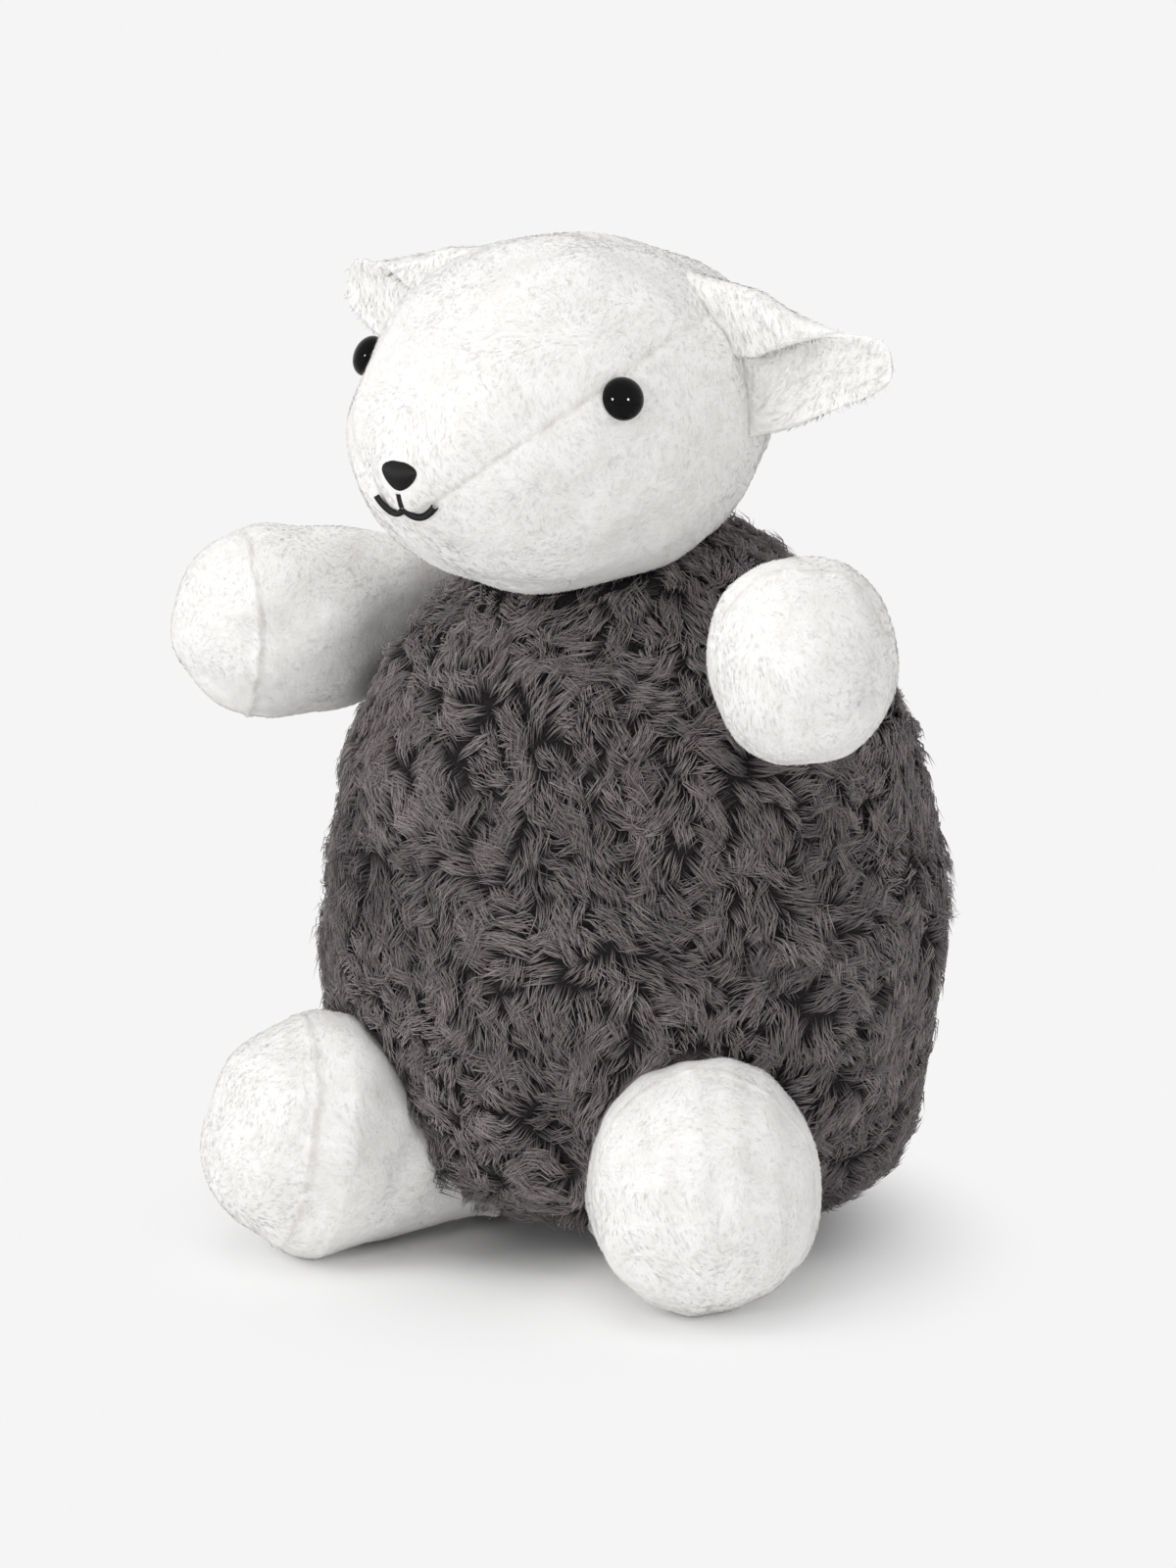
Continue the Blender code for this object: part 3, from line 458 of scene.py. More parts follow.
HEAD_FRAME = Matrix.Translation(HEAD_CENTRE) @ Matrix.Rotation(HEAD_ROLL, 4, "Y")
EYE_DIRECTION = Vector((0.857, -0.440, 0.315))
EYE_DIMPLE = 0.0010
EYE_DIMPLE_WIDTH = 0.010
CROWN_CORNER = Vector((0.50, 0.58, 0.64)).normalized()
CROWN_CORNER_SHARE = 0.088    # how far the crown swells there, where the gusset meets an ear
CROWN_CORNER_SPREAD = 0.40


def head_point(direction):
    """Point of the head's surface in a direction, in the head's own frame."""
    unit = direction.normalized()
    front = max(0.0, -unit.y) ** 2
    taper = BROW_TAPER_SHARE if unit.z > 0.0 else CHIN_TAPER_SHARE
    swell = sum(math.exp(-((unit - Vector((sign * CROWN_CORNER.x, *CROWN_CORNER.yz))).length
                           / CROWN_CORNER_SPREAD) ** 2) for sign in SIDES.values())
    return (1.0 + CROWN_CORNER_SHARE * swell) * Vector((
        HEAD_HALF_WIDTH * unit.x * (1.0 - CHEEK_TAPER_SHARE * front),
        HEAD_HALF_LENGTH * unit.y,
        HEAD_HALF_HEIGHT * unit.z * (1.0 - taper * front) - MUZZLE_DROP * front))


def head_normal(direction):
    """Outward normal of the head's surface in a direction, from small steps around it."""
    unit = direction.normalized()
    across = unit.orthogonal().normalized()
    along = unit.cross(across)
    step = 0.002
    slopes = [head_point(unit + way * step) - head_point(unit - way * step)
              for way in (across, along)]
    return slopes[0].cross(slopes[1]).normalized()


def sort_faces(mesh):
    """Puts a mesh's faces in the order of their vertices.

    Blender makes a sphere's faces in another order each run, and the pile's random roots
    follow that order, so without this each run would lay the pile another way."""
    faces = sorted(tuple(polygon.vertices) for polygon in mesh.polygons)
    places = [vertex.co.copy() for vertex in mesh.vertices]
    mesh.clear_geometry()
    mesh.from_pydata(places, [], faces)


def shaped_sphere(name, around, along, place):
    """A sphere whose vertices are moved from the unit sphere to their places.

    Its faces are turned over where the places mirror it, so that they point outward."""
    bpy.ops.mesh.primitive_uv_sphere_add(segments=around, ring_count=along, radius=1.0)
    piece = bpy.context.object
    piece.name = name
    sort_faces(piece.data)
    for vertex in piece.data.vertices:
        vertex.co = place(vertex.co)
    piece.data.calc_loop_triangles()
    corners = np.array([triangle.vertices for triangle in piece.data.loop_triangles])
    a, b, c = (vertex_values(piece.data, "co")[corners[:, i]] for i in range(3))
    if (a * np.cross(b, c)).sum() < 0.0:
        bpy.ops.object.mode_set(mode="EDIT")
        bpy.ops.mesh.select_all(action="SELECT")
        bpy.ops.mesh.flip_normals()
        bpy.ops.object.mode_set(mode="OBJECT")
    piece.data.update()
    piece.data.shade_smooth()
    return piece


def puff(piece, seam_distances, lump_seed, lump=PLUSH_LUMP, ridge=0.0):
    """Stuffed fabric's shape: soft lumps, and a dip along each seam with a groove or ridge.

    The seam's strength is kept in the attribute seam, for the material's painted shade along it."""
    places = vertex_values(piece.data, "co")
    normals = vertex_values(piece.data, "normal")
    lift = drift(places, PLUSH_LUMP_SIZE, lump_seed)[:, 0] * lump
    groove = np.zeros(len(places))
    wobble = drift(places, SEAM_WOBBLE_SIZE, lump_seed + 100)[:, 0] * SEAM_WOBBLE
    for distance in seam_distances:
        distance = distance + wobble
        groove = np.maximum(groove, np.exp(-(distance / SEAM_WIDTH) ** 2))
        lift -= SEAM_PUFF * np.exp(-(distance / SEAM_PUFF_WIDTH) ** 2)
    lift += (ridge - SEAM_DEPTH) * groove
    place_vertices(piece.data, places + normals * lift[:, None])
    attribute = piece.data.attributes.new("seam", "FLOAT", "POINT")
    attribute.data.foreach_set("value", groove.astype(np.float32))


# White plush: a dense cut pile about 3 mm long, matt with a little sheen. Its nap lies in
# patches that catch the light unevenly, painted as patches of light and shade, and each seam
# is painted as a thin grey line of shade.
PLUSH_WHITE = "FAF9F7"
PLUSH_NAP_SHADE = "F1EFEC"
# the grey of the painted shade along a seam
PLUSH_SEAM_SHADE = "DFDBD6"
NAP_PATCH = 0.011
NAP_GRAIN = 0.0011
plush_material, tree, shader = new_material("white_short_plush")
where = add_node(tree, "TexCoord")
patches = add_node(tree, "TexNoise", {"Vector": where.outputs["Object"],
                                      "Scale": 1.0 / NAP_PATCH, "Detail": 3.0,
                                      "Roughness": 0.65, "Distortion": 0.6})
# Painted light and shade: the nap's patches are coloured a little lighter and darker.
nap_light_and_shade = add_node(tree, "ValToRGB", {"Fac": patches.outputs["Fac"]})
nap_light_and_shade.color_ramp.elements[0].position = 0.32
nap_light_and_shade.color_ramp.elements[0].color = linear(PLUSH_NAP_SHADE)
nap_light_and_shade.color_ramp.elements[1].position = 0.60
nap_light_and_shade.color_ramp.elements[1].color = linear(PLUSH_WHITE)
# Painted shade: a thin grey line along each seam, fading out in some of the nap's patches.
seam_shade_strength = add_node(tree, "Attribute", attribute_name="seam")
hidden = add_node(tree, "MapRange", {"Value": patches.outputs["Fac"], "From Min": 0.42,
                                     "From Max": 0.62, "To Min": 1.0, "To Max": 0.1})
shown = add_node(tree, "Math", {0: seam_shade_strength.outputs["Fac"], 1: hidden.outputs["Result"]},
                 operation="MULTIPLY")
coloured = add_node(tree, "Mix", {"Factor": shown.outputs[0], "A": nap_light_and_shade.outputs["Color"],
                                  "B": linear(PLUSH_SEAM_SHADE)}, data_type="RGBA")
grain = add_node(tree, "TexNoise", {"Vector": where.outputs["Object"],
                                    "Scale": 1.0 / NAP_GRAIN, "Detail": 4.0,
                                    "Roughness": 0.7})
both = add_node(tree, "Math", {0: patches.outputs["Fac"], 1: grain.outputs["Fac"]},
                operation="ADD")
rough = add_node(tree, "Bump", {"Height": both.outputs[0], "Strength": 0.30,
                                "Distance": NAP_GRAIN})
set_inputs(tree, shader, {"Base Color": coloured.outputs["Result"], "Roughness": 0.95,
                          "Specular IOR Level": 0.15, "Sheen Weight": 0.25,
                          "Sheen Roughness": 0.6, "Normal": rough.outputs["Normal"]})

head = shaped_sphere("head_cover", 240, 160,
                     lambda unit: head_point(Vector((unit.x, -unit.z, unit.y))))
places = vertex_values(head.data, "co")
tilted = places - np.array((0.0, 0.0, GUSSET_RISE))
tilted = tilted @ np.array(Matrix.Rotation(GUSSET_TILT, 3, "X"))
gusset_line = (np.abs(tilted[:, 0]) * math.cos(GUSSET_HALF_ANGLE)
               - tilted[:, 2] * math.sin(GUSSET_HALF_ANGLE))
chin_line = np.where(gusset_line > 0.0, np.abs(tilted[:, 0]), HEAD_HALF_WIDTH)
chin_line += np.maximum(0.0, tilted[:, 1] + HEAD_HALF_LENGTH * CHIN_SEAM_END_SHARE)
puff(head, (gusset_line, chin_line), 21)
places = vertex_values(head.data, "co")
normals = vertex_values(head.data, "normal")
for sign in SIDES.values():
    eye_centre = head_point(Vector((sign * EYE_DIRECTION.x, *EYE_DIRECTION.yz)))
    distance = np.linalg.norm(places - np.array(eye_centre), axis=1)
    dimple = EYE_DIMPLE * np.exp(-(distance / EYE_DIMPLE_WIDTH) ** 2)
    places -= normals * dimple[:, None]
place_vertices(head.data, places)
head.data.transform(HEAD_FRAME)
places = vertex_values(head.data, "co")
from_ball = places - SHOULDER_BALL_CENTRE
reach = np.linalg.norm(from_ball, axis=1)
inside = reach < SHOULDER_BALL_RADIUS
places[inside] = (SHOULDER_BALL_CENTRE
                  + from_ball[inside] * (SHOULDER_BALL_RADIUS / reach[inside])[:, None])
place_vertices(head.data, places)
head.data.materials.append(plush_material)
head_surface = surface_of(head)
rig.replaces(head, "head_top_panel", "head_left_panel", "head_right_panel", "head_filling")
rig.slot(head, "white_plush")
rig.padded(head, fill=0.8)
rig.ride(head, "head")


# Ears
# Two layers of the white plush, sewn and turned, unfilled. Each ear is folded along its
# length: its upper part turns over the front as a flap and leaves a shaded pocket beneath.
EAR_LENGTH = 0.0605
EAR_HALF_HEIGHT = 0.031
EAR_TIP_SHARE = 0.36
EAR_ROOT_DEPTH = 0.022
EAR_FOLD_DEPTH = 0.0185
EAR_ROOT_FOLD_SHARE = 0.40    # the fold is pressed flatter where it is sewn to the head
EAR_ROOT_FOLD_LENGTH = 0.024
# Across the ear, from its lower rim over the fold to the flap's lip: share of the half
# height, share of the fold's depth
EAR_FOLD_SHARES = (
    (-1.00, 0.40), (-0.70, 0.15), (-0.30, 0.02), (0.15, 0.00), (0.52, 0.00), (0.80, 0.04),
    (0.96, 0.24), (0.99, 0.56), (0.88, 0.86), (0.55, 1.00), (0.14, 1.00))
EAR_CUP_SHARE = 0.35
EAR_FOLD_END_SHARES = (0.40, 0.95)
EAR_HALF_THICKNESS = 0.0033
EAR_FULL_SHARE = 0.42
EAR_ROOT_DIRECTION = Vector((0.900, 0.285, 0.360))
EAR_BACK = 0.0018
EAR_RISE = 0.0085
EAR_ROOT_LEAN = math.radians(9.0)
EAR_EDGE_SHARE = 0.45         # under 1, the rims are blunter than an ellipse's
EAR_TIP_THICKNESS_SHARE = 0.4
EAR_SLOPE_STEP = 0.05
EAR_LUMP = 0.00025
ROOT_CLOSE_SHARE = 0.25       # a sewn root closes within this share of its outline
POLE_RING = 1e-5              # a point this near to the unit sphere's pole is on it


def smooth_between(points, run):
    """Point of the smooth curve through a row of points, run counting its steps."""
    step = min(int(run), len(points) - 2)
    part = run - step
    before, start, end, after = (Vector(points[min(max(step + i, 0), len(points) - 1)])
                                 for i in (-1, 0, 1, 2))
    return 0.5 * (2.0 * start + (end - before) * part
                  + (2.0 * before - 5.0 * start + 4.0 * end - after) * part ** 2
                  + (3.0 * start - before - 3.0 * end + after) * part ** 3)


def ear_fold(across, share):
    """Height and forward place across the ear, from -1 at its lower rim to 1 at the lip."""
    folded = smooth_between(EAR_FOLD_SHARES, (across + 1.0) / 2.0 * (len(EAR_FOLD_SHARES) - 1))
    start, end = EAR_FOLD_END_SHARES
    opened = min(1.0, max(0.0, (share - start) / (end - start)))
    return folded.lerp(Vector((across, EAR_CUP_SHARE * across ** 2)), opened)


def ear_form(sign):
    """What places an ear's points, from the unit sphere to the head's own frame."""
    root = head_point(Vector((sign * EAR_ROOT_DIRECTION.x, *EAR_ROOT_DIRECTION.yz)))
    hinge = Vector((-sign * math.sin(EAR_ROOT_LEAN), 0.0, math.cos(EAR_ROOT_LEAN)))
    out = Vector((sign * EAR_LENGTH, EAR_BACK, EAR_RISE)).normalized()
    front = out.cross(hinge).normalized() * sign
    wide = front.cross(out) * sign

    def section(across, share):
        height, ahead = ear_fold(across, share)
        out_of_head = share * (EAR_LENGTH + EAR_ROOT_DEPTH) - EAR_ROOT_DEPTH
        opened = min(1.0, max(0.0, out_of_head / EAR_ROOT_FOLD_LENGTH))
        ahead *= EAR_ROOT_FOLD_SHARE + (1.0 - EAR_ROOT_FOLD_SHARE) * opened
        return wide * EAR_HALF_HEIGHT * height + front * EAR_FOLD_DEPTH * ahead

    def place(unit):
        ring = math.hypot(unit.x, unit.y)
        share = (1.0 + unit.z) / 2.0
        full = ring ** EAR_FULL_SHARE if unit.z > 0.0 else min(1.0, ring / ROOT_CLOSE_SHARE)
        taper = 1.0 - (1.0 - EAR_TIP_SHARE) * share
        around = math.atan2(abs(unit.y), unit.x) / math.pi if ring > POLE_RING else 0.5
        across = 1.0 - 2.0 * around
        slope = (section(min(across + EAR_SLOPE_STEP, 1.0), share)
                 - section(max(across - EAR_SLOPE_STEP, -1.0), share)).normalized()
        thick = math.copysign(math.sin(around * math.pi) ** EAR_EDGE_SHARE, unit.y)
        run = share * (EAR_LENGTH + EAR_ROOT_DEPTH) - EAR_ROOT_DEPTH
        thin = EAR_TIP_THICKNESS_SHARE + (1.0 - EAR_TIP_THICKNESS_SHARE) * taper
        depth = thick * full * EAR_HALF_THICKNESS * thin
        middle = root + out * run + section(across, share) * full * taper
        return middle - out.cross(slope) * sign * depth
    return place


ears = {}
for side, sign in SIDES.items():
    ear = shaped_sphere("ear_" + side + "_cover", 120, 80, ear_form(sign))
    puff(ear, (), 31 if sign > 0.0 else 32, lump=EAR_LUMP)
    ear.data.transform(HEAD_FRAME)
    ear.data.materials.append(plush_material)
    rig.replaces(ear, f"ear_{side}_outer", f"ear_{side}_inner")
    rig.slot(ear, "white_plush")
    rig.padded(ear, fill=0.5)
    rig.ride(ear, "ear_" + side)
    ears[side] = ear


# Arms and legs
# Tapered sleeves of the white plush, filled hard with fibre and closed by a round end pad.
# Each is sewn flat into a seam of the body, so its root bends there.
ROOT_HALF_THICKNESS = 0.003
ROOT_SINK = 0.004
BEND_LENGTH = 0.022
SIDE_SEAM_FORWARD = 0.014
ARM_ROOT_RADIUS = 0.08348
ARM_ROOT_HEIGHT = 0.218
ARM_ROOT_HALF_WIDTH = 0.026
ARM_ROOT_LEAN = math.radians(36.0)
HAND_OUT = 0.0357
HAND_AHEAD = 0.050
HAND_RISES = {"left": 0.010, "right": -0.0008}
HAND_HALF_WIDTH = 0.036
HAND_HALF_THICKNESS = 0.0325
HAND_DOME = 0.038
HAND_SEAM = 0.012
HAND_ANGLE = math.radians(38.0)
LEG_ROOTS = {"left": (0.05, -0.04301, 0.010), "right": (-0.038, -0.05201, 0.010)}
LEG_ROOT_HALF_WIDTH = 0.029
LEG_ROOT_ANGLES = {"left": math.radians(42.0), "right": math.radians(30.0)}
FOOT_PLACES = {"left": (0.044, 0.041), "right": (0.016, 0.063)}
FOOT_HALF_WIDTH = 0.041
FOOT_HALF_THICKNESS = 0.044
FOOT_DOME = 0.043
FOOT_SEAM = 0.014
FOOT_ANGLE = math.radians(35.0)
FOOT_TIP_ANGLE = math.radians(10.0)
FLOOR_FLAT = 0.0005
PAD_RIDGE = 0.0011            # the pad's seam stands up through the pile
UP = Vector((0.0, 0.0, 1.0))


def arm_limb(side, sign):
    """An arm's places, directions and half sizes, from its seam to its end pad."""
    outward = Vector((sign * math.sqrt(ARM_ROOT_RADIUS ** 2 - SIDE_SEAM_FORWARD ** 2),
                      -SIDE_SEAM_FORWARD, 0.0))
    hinge_point = outward + UP * ARM_ROOT_HEIGHT
    hinge = (UP * math.cos(ARM_ROOT_LEAN)
             - outward.normalized() * math.sin(ARM_ROOT_LEAN))
    out = Vector((sign * math.sin(HAND_ANGLE), -math.cos(HAND_ANGLE), 0.0))
    centre = hinge_point + Vector((sign * HAND_OUT, -HAND_AHEAD, HAND_RISES[side]))
    along = (centre - hinge_point).normalized()
    return {"hinge_point": hinge_point, "along": along, "root": hinge_point - along * ROOT_SINK,
            "centre": centre, "out": out, "root_wide": hinge,
            "root_thick": along.cross(hinge).normalized(), "wide": UP, "thick": out.cross(UP),
            "root_half_width": ARM_ROOT_HALF_WIDTH, "half_width": HAND_HALF_WIDTH,
            "half_thickness": HAND_HALF_THICKNESS, "dome": HAND_DOME, "seam": HAND_SEAM}


def leg_limb(side, sign):
    """A leg's places, directions and half sizes, from its seam to its sole."""
    hinge_point = Vector(LEG_ROOTS[side])
    lean = LEG_ROOT_ANGLES[side]
    ahead = Vector((sign * math.sin(FOOT_ANGLE), -math.cos(FOOT_ANGLE), 0.0))
    out = ahead * math.cos(FOOT_TIP_ANGLE) + UP * math.sin(FOOT_TIP_ANGLE)
    wide = UP.cross(ahead)
    centre = hinge_point + Vector((sign * FOOT_PLACES[side][0], -FOOT_PLACES[side][1], 0.0))
    centre.z = FOOT_HALF_THICKNESS - FLOOR_FLAT
    along = (centre - hinge_point).normalized()
    return {"hinge_point": hinge_point, "along": along, "root": hinge_point - along * ROOT_SINK,
            "centre": centre, "out": out,
            "root_wide": Vector((math.cos(lean), sign * math.sin(lean), 0.0)),
            "root_thick": UP, "wide": wide, "thick": out.cross(wide),
            "root_half_width": LEG_ROOT_HALF_WIDTH, "half_width": FOOT_HALF_WIDTH,
            "half_thickness": FOOT_HALF_THICKNESS, "dome": FOOT_DOME, "seam": FOOT_SEAM}


def limb_place(limb):
    """What places a limb's points, the unit sphere's lower half being its sleeve."""
    def place(unit):
        ring = math.hypot(unit.x, unit.y)
        across = unit.x / ring if ring > 0.0 else 0.0
        over = unit.y / ring if ring > 0.0 else 0.0
        if unit.z > 0.0:
            swell = 1.0
            middle = limb["centre"] + limb["out"] * limb["dome"] * unit.z
            half_width = limb["half_width"] * ring
            half_thickness = limb["half_thickness"] * ring
        else:
            swell = math.sin(math.pi / 2.0 * (1.0 + unit.z))
            middle = limb["root"].lerp(limb["centre"], 1.0 + unit.z)
            middle.z = limb["root"].z + (limb["centre"].z - limb["root"].z) * swell
            opened = min(1.0, ring / ROOT_CLOSE_SHARE)
            thin = ROOT_HALF_THICKNESS
            wide = limb["root_half_width"]
            half_width = (wide + (limb["half_width"] - wide) * swell) * opened
            half_thickness = (thin + (limb["half_thickness"] - thin) * swell) * opened
        wide_way = limb["root_wide"].lerp(limb["wide"], swell)
        thick_way = limb["root_thick"].lerp(limb["thick"], swell)
        return middle + wide_way * half_width * across + thick_way * half_thickness * over
    return place


limbs = {}
for kind, make, seed in (("arm", arm_limb, 41), ("leg", leg_limb, 51)):
    for side, sign in SIDES.items():
        name = kind + "_" + side
        limb = make(side, sign)
        cover = shaped_sphere(name + "_cover", 130, 110, limb_place(limb))
        seam_point = limb["centre"] + limb["out"] * limb["seam"]
        places = vertex_values(cover.data, "co")
        pad_line = (places - np.array(seam_point)) @ np.array(limb["out"])
        puff(cover, (pad_line,), seed + int(sign), ridge=PAD_RIDGE)
        places = vertex_values(cover.data, "co")
        places[:, 2] = np.maximum(places[:, 2], 0.0)
        place_vertices(cover.data, places)
        cover.data.materials.append(plush_material)
        limb["piece"] = cover
        limb["surface"] = surface_of(cover)
        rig.replaces(cover, name + "_sleeve", name + "_end_pad", name + "_filling")
        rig.slot(cover, "white_plush")
        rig.padded(cover, fill=0.85)
        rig.blend(cover, "body", name, limb["root"],
                 limb["hinge_point"] + limb["along"] * BEND_LENGTH)
        limbs[name] = limb


# Eyes
# Round safety eyes of polished black plastic, held by washers behind the cover.
EYE_RADIUS = 0.0075
EYE_DOME = 0.0055
EYE_RIM = 0.0008

# Polished black plastic: deep black, with a small sharp reflection of each glint lamp.
EYE_BLACK = "050506"
eye_material, tree, shader = new_material("polished_black_plastic")
set_inputs(tree, shader, {"Base Color": linear(EYE_BLACK), "Roughness": 0.03, "IOR": 1.49,
                          "Specular IOR Level": 0.13})
eye_places = {}
for side, sign in SIDES.items():
    direction = Vector((sign * EYE_DIRECTION.x, *EYE_DIRECTION.yz))
    normal = head_normal(direction)
    turn = normal.to_track_quat("Z", "Y").to_matrix().to_4x4()
    eye_place = HEAD_FRAME @ Matrix.Translation(head_point(direction) - normal * EYE_DIMPLE
                                                + normal * EYE_RIM / 2.0) @ turn
    eye = shaped_sphere("eye_" + side + "_dome", 64, 40, lambda unit: Vector(
        (EYE_RADIUS * unit.x, EYE_RADIUS * unit.y,
         EYE_RIM + (EYE_DOME if unit.z > 0.0 else EYE_RIM * 2.0) * unit.z)))
    eye.data.transform(eye_place)
    eye.data.materials.append(eye_material)
    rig.replaces(eye, "eye_" + side)
    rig.slot(eye, "black_plastic")
    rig.ride(eye, "head")
    eye_places[side] = eye_place.translation.copy()


# Nose and mouth
# Satin stitches in black thread, laid side by side: upright over the padded nose, and
# across the line for the stem and the mouth.
NOSE_HALF_WIDTH = 0.0115
NOSE_HALF_HEIGHT = 0.0070
NOSE_THICKNESS = 0.0022
NOSE_DIRECTION = Vector((0.0, -0.965, -0.055))
NOSE_POINT_SHARE = 0.62
STEM_LENGTH = 0.0058
MOUTH_HALF_WIDTH = 0.0150
MOUTH_DEPTH = 0.0048
MOUTH_LOBE_SHARE = 0.80
MOUTH_END_SHARE = 0.25
MOUTH_RISE = 0.0022
THREAD_RADIUS = 0.00024
STITCH_SPACING = 0.00042
LINE_HALF_WIDTH = 0.0014
LINE_RISE_SHARE = 1.1         # how high a line's stitches arch, as a share of that
STITCH_STEPS = 3
NOSE_ROW_STEPS = 12
NOSE_HEIGHT_STEPS = 40
MOUTH_STEPS = 16


def on_face(side, up, height):
    """Point over the front of the head, side and up being distances from the nose."""
    direction = NOSE_DIRECTION + Vector((side / HEAD_HALF_WIDTH, 0.0, up / HEAD_HALF_HEIGHT))
    return HEAD_FRAME @ (head_point(direction) + head_normal(direction) * height)


def stitches(name, rows):
    """Threads as one mesh, each row being the points of one stitch."""
    curve = bpy.data.curves.new(name, "CURVE")
    curve.dimensions = "3D"
    curve.bevel_depth = THREAD_RADIUS
    curve.bevel_resolution = 1
    curve.use_fill_caps = True
    for row in rows:
        spline = curve.splines.new("POLY")
        spline.points.add(len(row) - 1)
        for point, place in zip(spline.points, row):
            point.co = (*place, 1.0)
    piece = bpy.data.objects.new(name, curve)
    bpy.context.scene.collection.objects.link(piece)
    bpy.ops.object.select_all(action="DESELECT")
    piece.select_set(True)
    bpy.context.view_layer.objects.active = piece
    bpy.ops.object.convert(target="MESH")
    piece.data.shade_smooth()
    piece.data.materials.append(thread_material)
    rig.slot(piece, "black_thread")
    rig.ride(piece, "head")
    return piece


def nose_half_width(up):
    """Half the nose's width at a height, up being from -1 to 1 of its half height."""
    narrow = 1.0 - NOSE_POINT_SHARE * (1.0 - up) / 2.0
    return NOSE_HALF_WIDTH * narrow * math.sqrt(max(0.0, 1.0 - up * up))


def line_rows(points):
    """Short stitches across a line, from its points as distances from the nose."""
    rows = []
    lengths = [0.0]
    for a, b in zip(points, points[1:]):
        lengths.append(lengths[-1] + math.dist(a, b))
    count = int(lengths[-1] / STITCH_SPACING)
    for i in range(count + 1):
        run = lengths[-1] * i / count
        k = max(j for j in range(len(points) - 1) if lengths[j] <= run)
        part = (run - lengths[k]) / (lengths[k + 1] - lengths[k])
        a, b = Vector(points[k]), Vector(points[k + 1])
        middle = a.lerp(b, part)
        across = (b - a).normalized().orthogonal()
        row = []
        for j in range(-STITCH_STEPS, STITCH_STEPS + 1):
            share = j / STITCH_STEPS
            place = middle + across * LINE_HALF_WIDTH * share
            arch = math.sqrt(max(0.0, 1.0 - share * share))
            row.append(on_face(place.x, place.y,
                               LINE_HALF_WIDTH * LINE_RISE_SHARE * arch - THREAD_RADIUS))
        rows.append(row)
    return rows


# Black polyester thread: dark, with the soft gloss of satin stitches.
THREAD_BLACK = "0B0A0C"
thread_material, tree, shader = new_material("black_satin_thread")
set_inputs(tree, shader, {"Base Color": linear(THREAD_BLACK), "Roughness": 0.5, "IOR": 1.5,
                          "Specular IOR Level": 0.25})
nose_rows = []
half_count = int(NOSE_HALF_WIDTH / STITCH_SPACING)
heights = [i / NOSE_HEIGHT_STEPS for i in range(-NOSE_HEIGHT_STEPS, NOSE_HEIGHT_STEPS + 1)]
for i in range(-half_count, half_count + 1):
    side_place = i * STITCH_SPACING
    spans = [up for up in heights if nose_half_width(up) > abs(side_place)]
    if len(spans) < 4:
        continue
    row = []
    for j in range(NOSE_ROW_STEPS + 1):
        up = spans[0] + (spans[-1] - spans[0]) * j / NOSE_ROW_STEPS
        room = max(0.0, 1.0 - (abs(side_place) / max(nose_half_width(up), THREAD_RADIUS)) ** 2)
        ends = math.sin(math.pi * j / NOSE_ROW_STEPS) ** 0.5
        height = NOSE_THICKNESS * math.sqrt(room) * ends * math.sqrt(max(0.0, 1.0 - up * up))
        row.append(on_face(side_place, NOSE_HALF_HEIGHT * up, height - THREAD_RADIUS / 2.0))
    nose_rows.append(row)
nose = stitches("nose_stitches", nose_rows)
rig.replaces(nose, "nose_embroidery")
stem_top = -NOSE_HALF_HEIGHT
stem = stitches("stem_stitches", line_rows([(0.0, stem_top), (0.0, stem_top - STEM_LENGTH)]))
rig.replaces(stem, "stem_embroidery")
mouth_top = stem_top - STEM_LENGTH - LINE_HALF_WIDTH
mouth_line = []
for i in range(-MOUTH_STEPS, MOUTH_STEPS + 1):
    out = i / MOUTH_STEPS
    lobe = abs(math.sin(math.pi * out)) ** MOUTH_LOBE_SHARE
    hang = MOUTH_DEPTH * lobe * (1.0 - MOUTH_END_SHARE * abs(out))
    mouth_line.append((MOUTH_HALF_WIDTH * out, mouth_top - hang + MOUTH_RISE * out ** 2))
mouth = stitches("mouth_stitches", line_rows(mouth_line))
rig.replaces(mouth, "mouth_embroidery")


# Fleece locks
# Grey long-pile fleece: fine hairs about 11 mm long that cling together in small locks. The
# locks lie flat, curve, drift in swirls over the body and overlap, with dark gaps between.
# Each strand stands for a few hairs side by side, because one alone is too fine to show.
LOCK_TRIES = 60000
LOCK_SPACING = 0.0047
STRAND_COUNT = 128000
STRAND_WIDTH = 0.00056
LOCK_LENGTH = 0.0108
LOCK_LIFT = 0.0043
LOCK_CURL = 0.38              # how far a lock curves to one side, as a share of its length
SWIRL_SIZE = 0.060
SWIRL_STRENGTH = 0.85
SMALL_SWIRL_COUNT = 3.0       # small swirls across a large one
SMALL_SWIRL_SHARE = 0.8
LOCK_TURN = 0.42              # how far a lock strays from the swirls
CLING_SHARE = 0.34            # how far a lock's hairs draw together at its tip
LOCK_LENGTH_SHARES = (0.6, 1.35)
LOCK_LIFT_SHARES = (0.5, 1.2)
LOCK_TONE_SPREAD = 0.10
TONE_PATCH_SIZE = 0.028
TONE_PATCH_SPREAD = 0.12
HAIR_TURN = 0.11
HAIR_LENGTH_SHARES = (0.7, 1.1)
HAIR_LIFT_SHARES = (0.65, 1.15)
HAIR_TIP_LIFT_SHARE = 0.6
HAIR_BEND_SHARE = 0.45        # where along its way a hair bends
HAIR_BEND_LIFT_SHARE = 1.4
HAIR_POINT_SHARES = (0.0, 0.42, 1.0)
HAIR_TONE_SPREAD = 0.16
HAIR_CLEARANCE = 0.0004       # between a hair and a white cover
HAIR_FLOOR_CLEARANCE = 0.0006
STRAND_WIDTH_SHARES = (0.7, 1.3)
STRAND_TAPER_SHARE = 0.55     # how much thinner a strand is at its tip
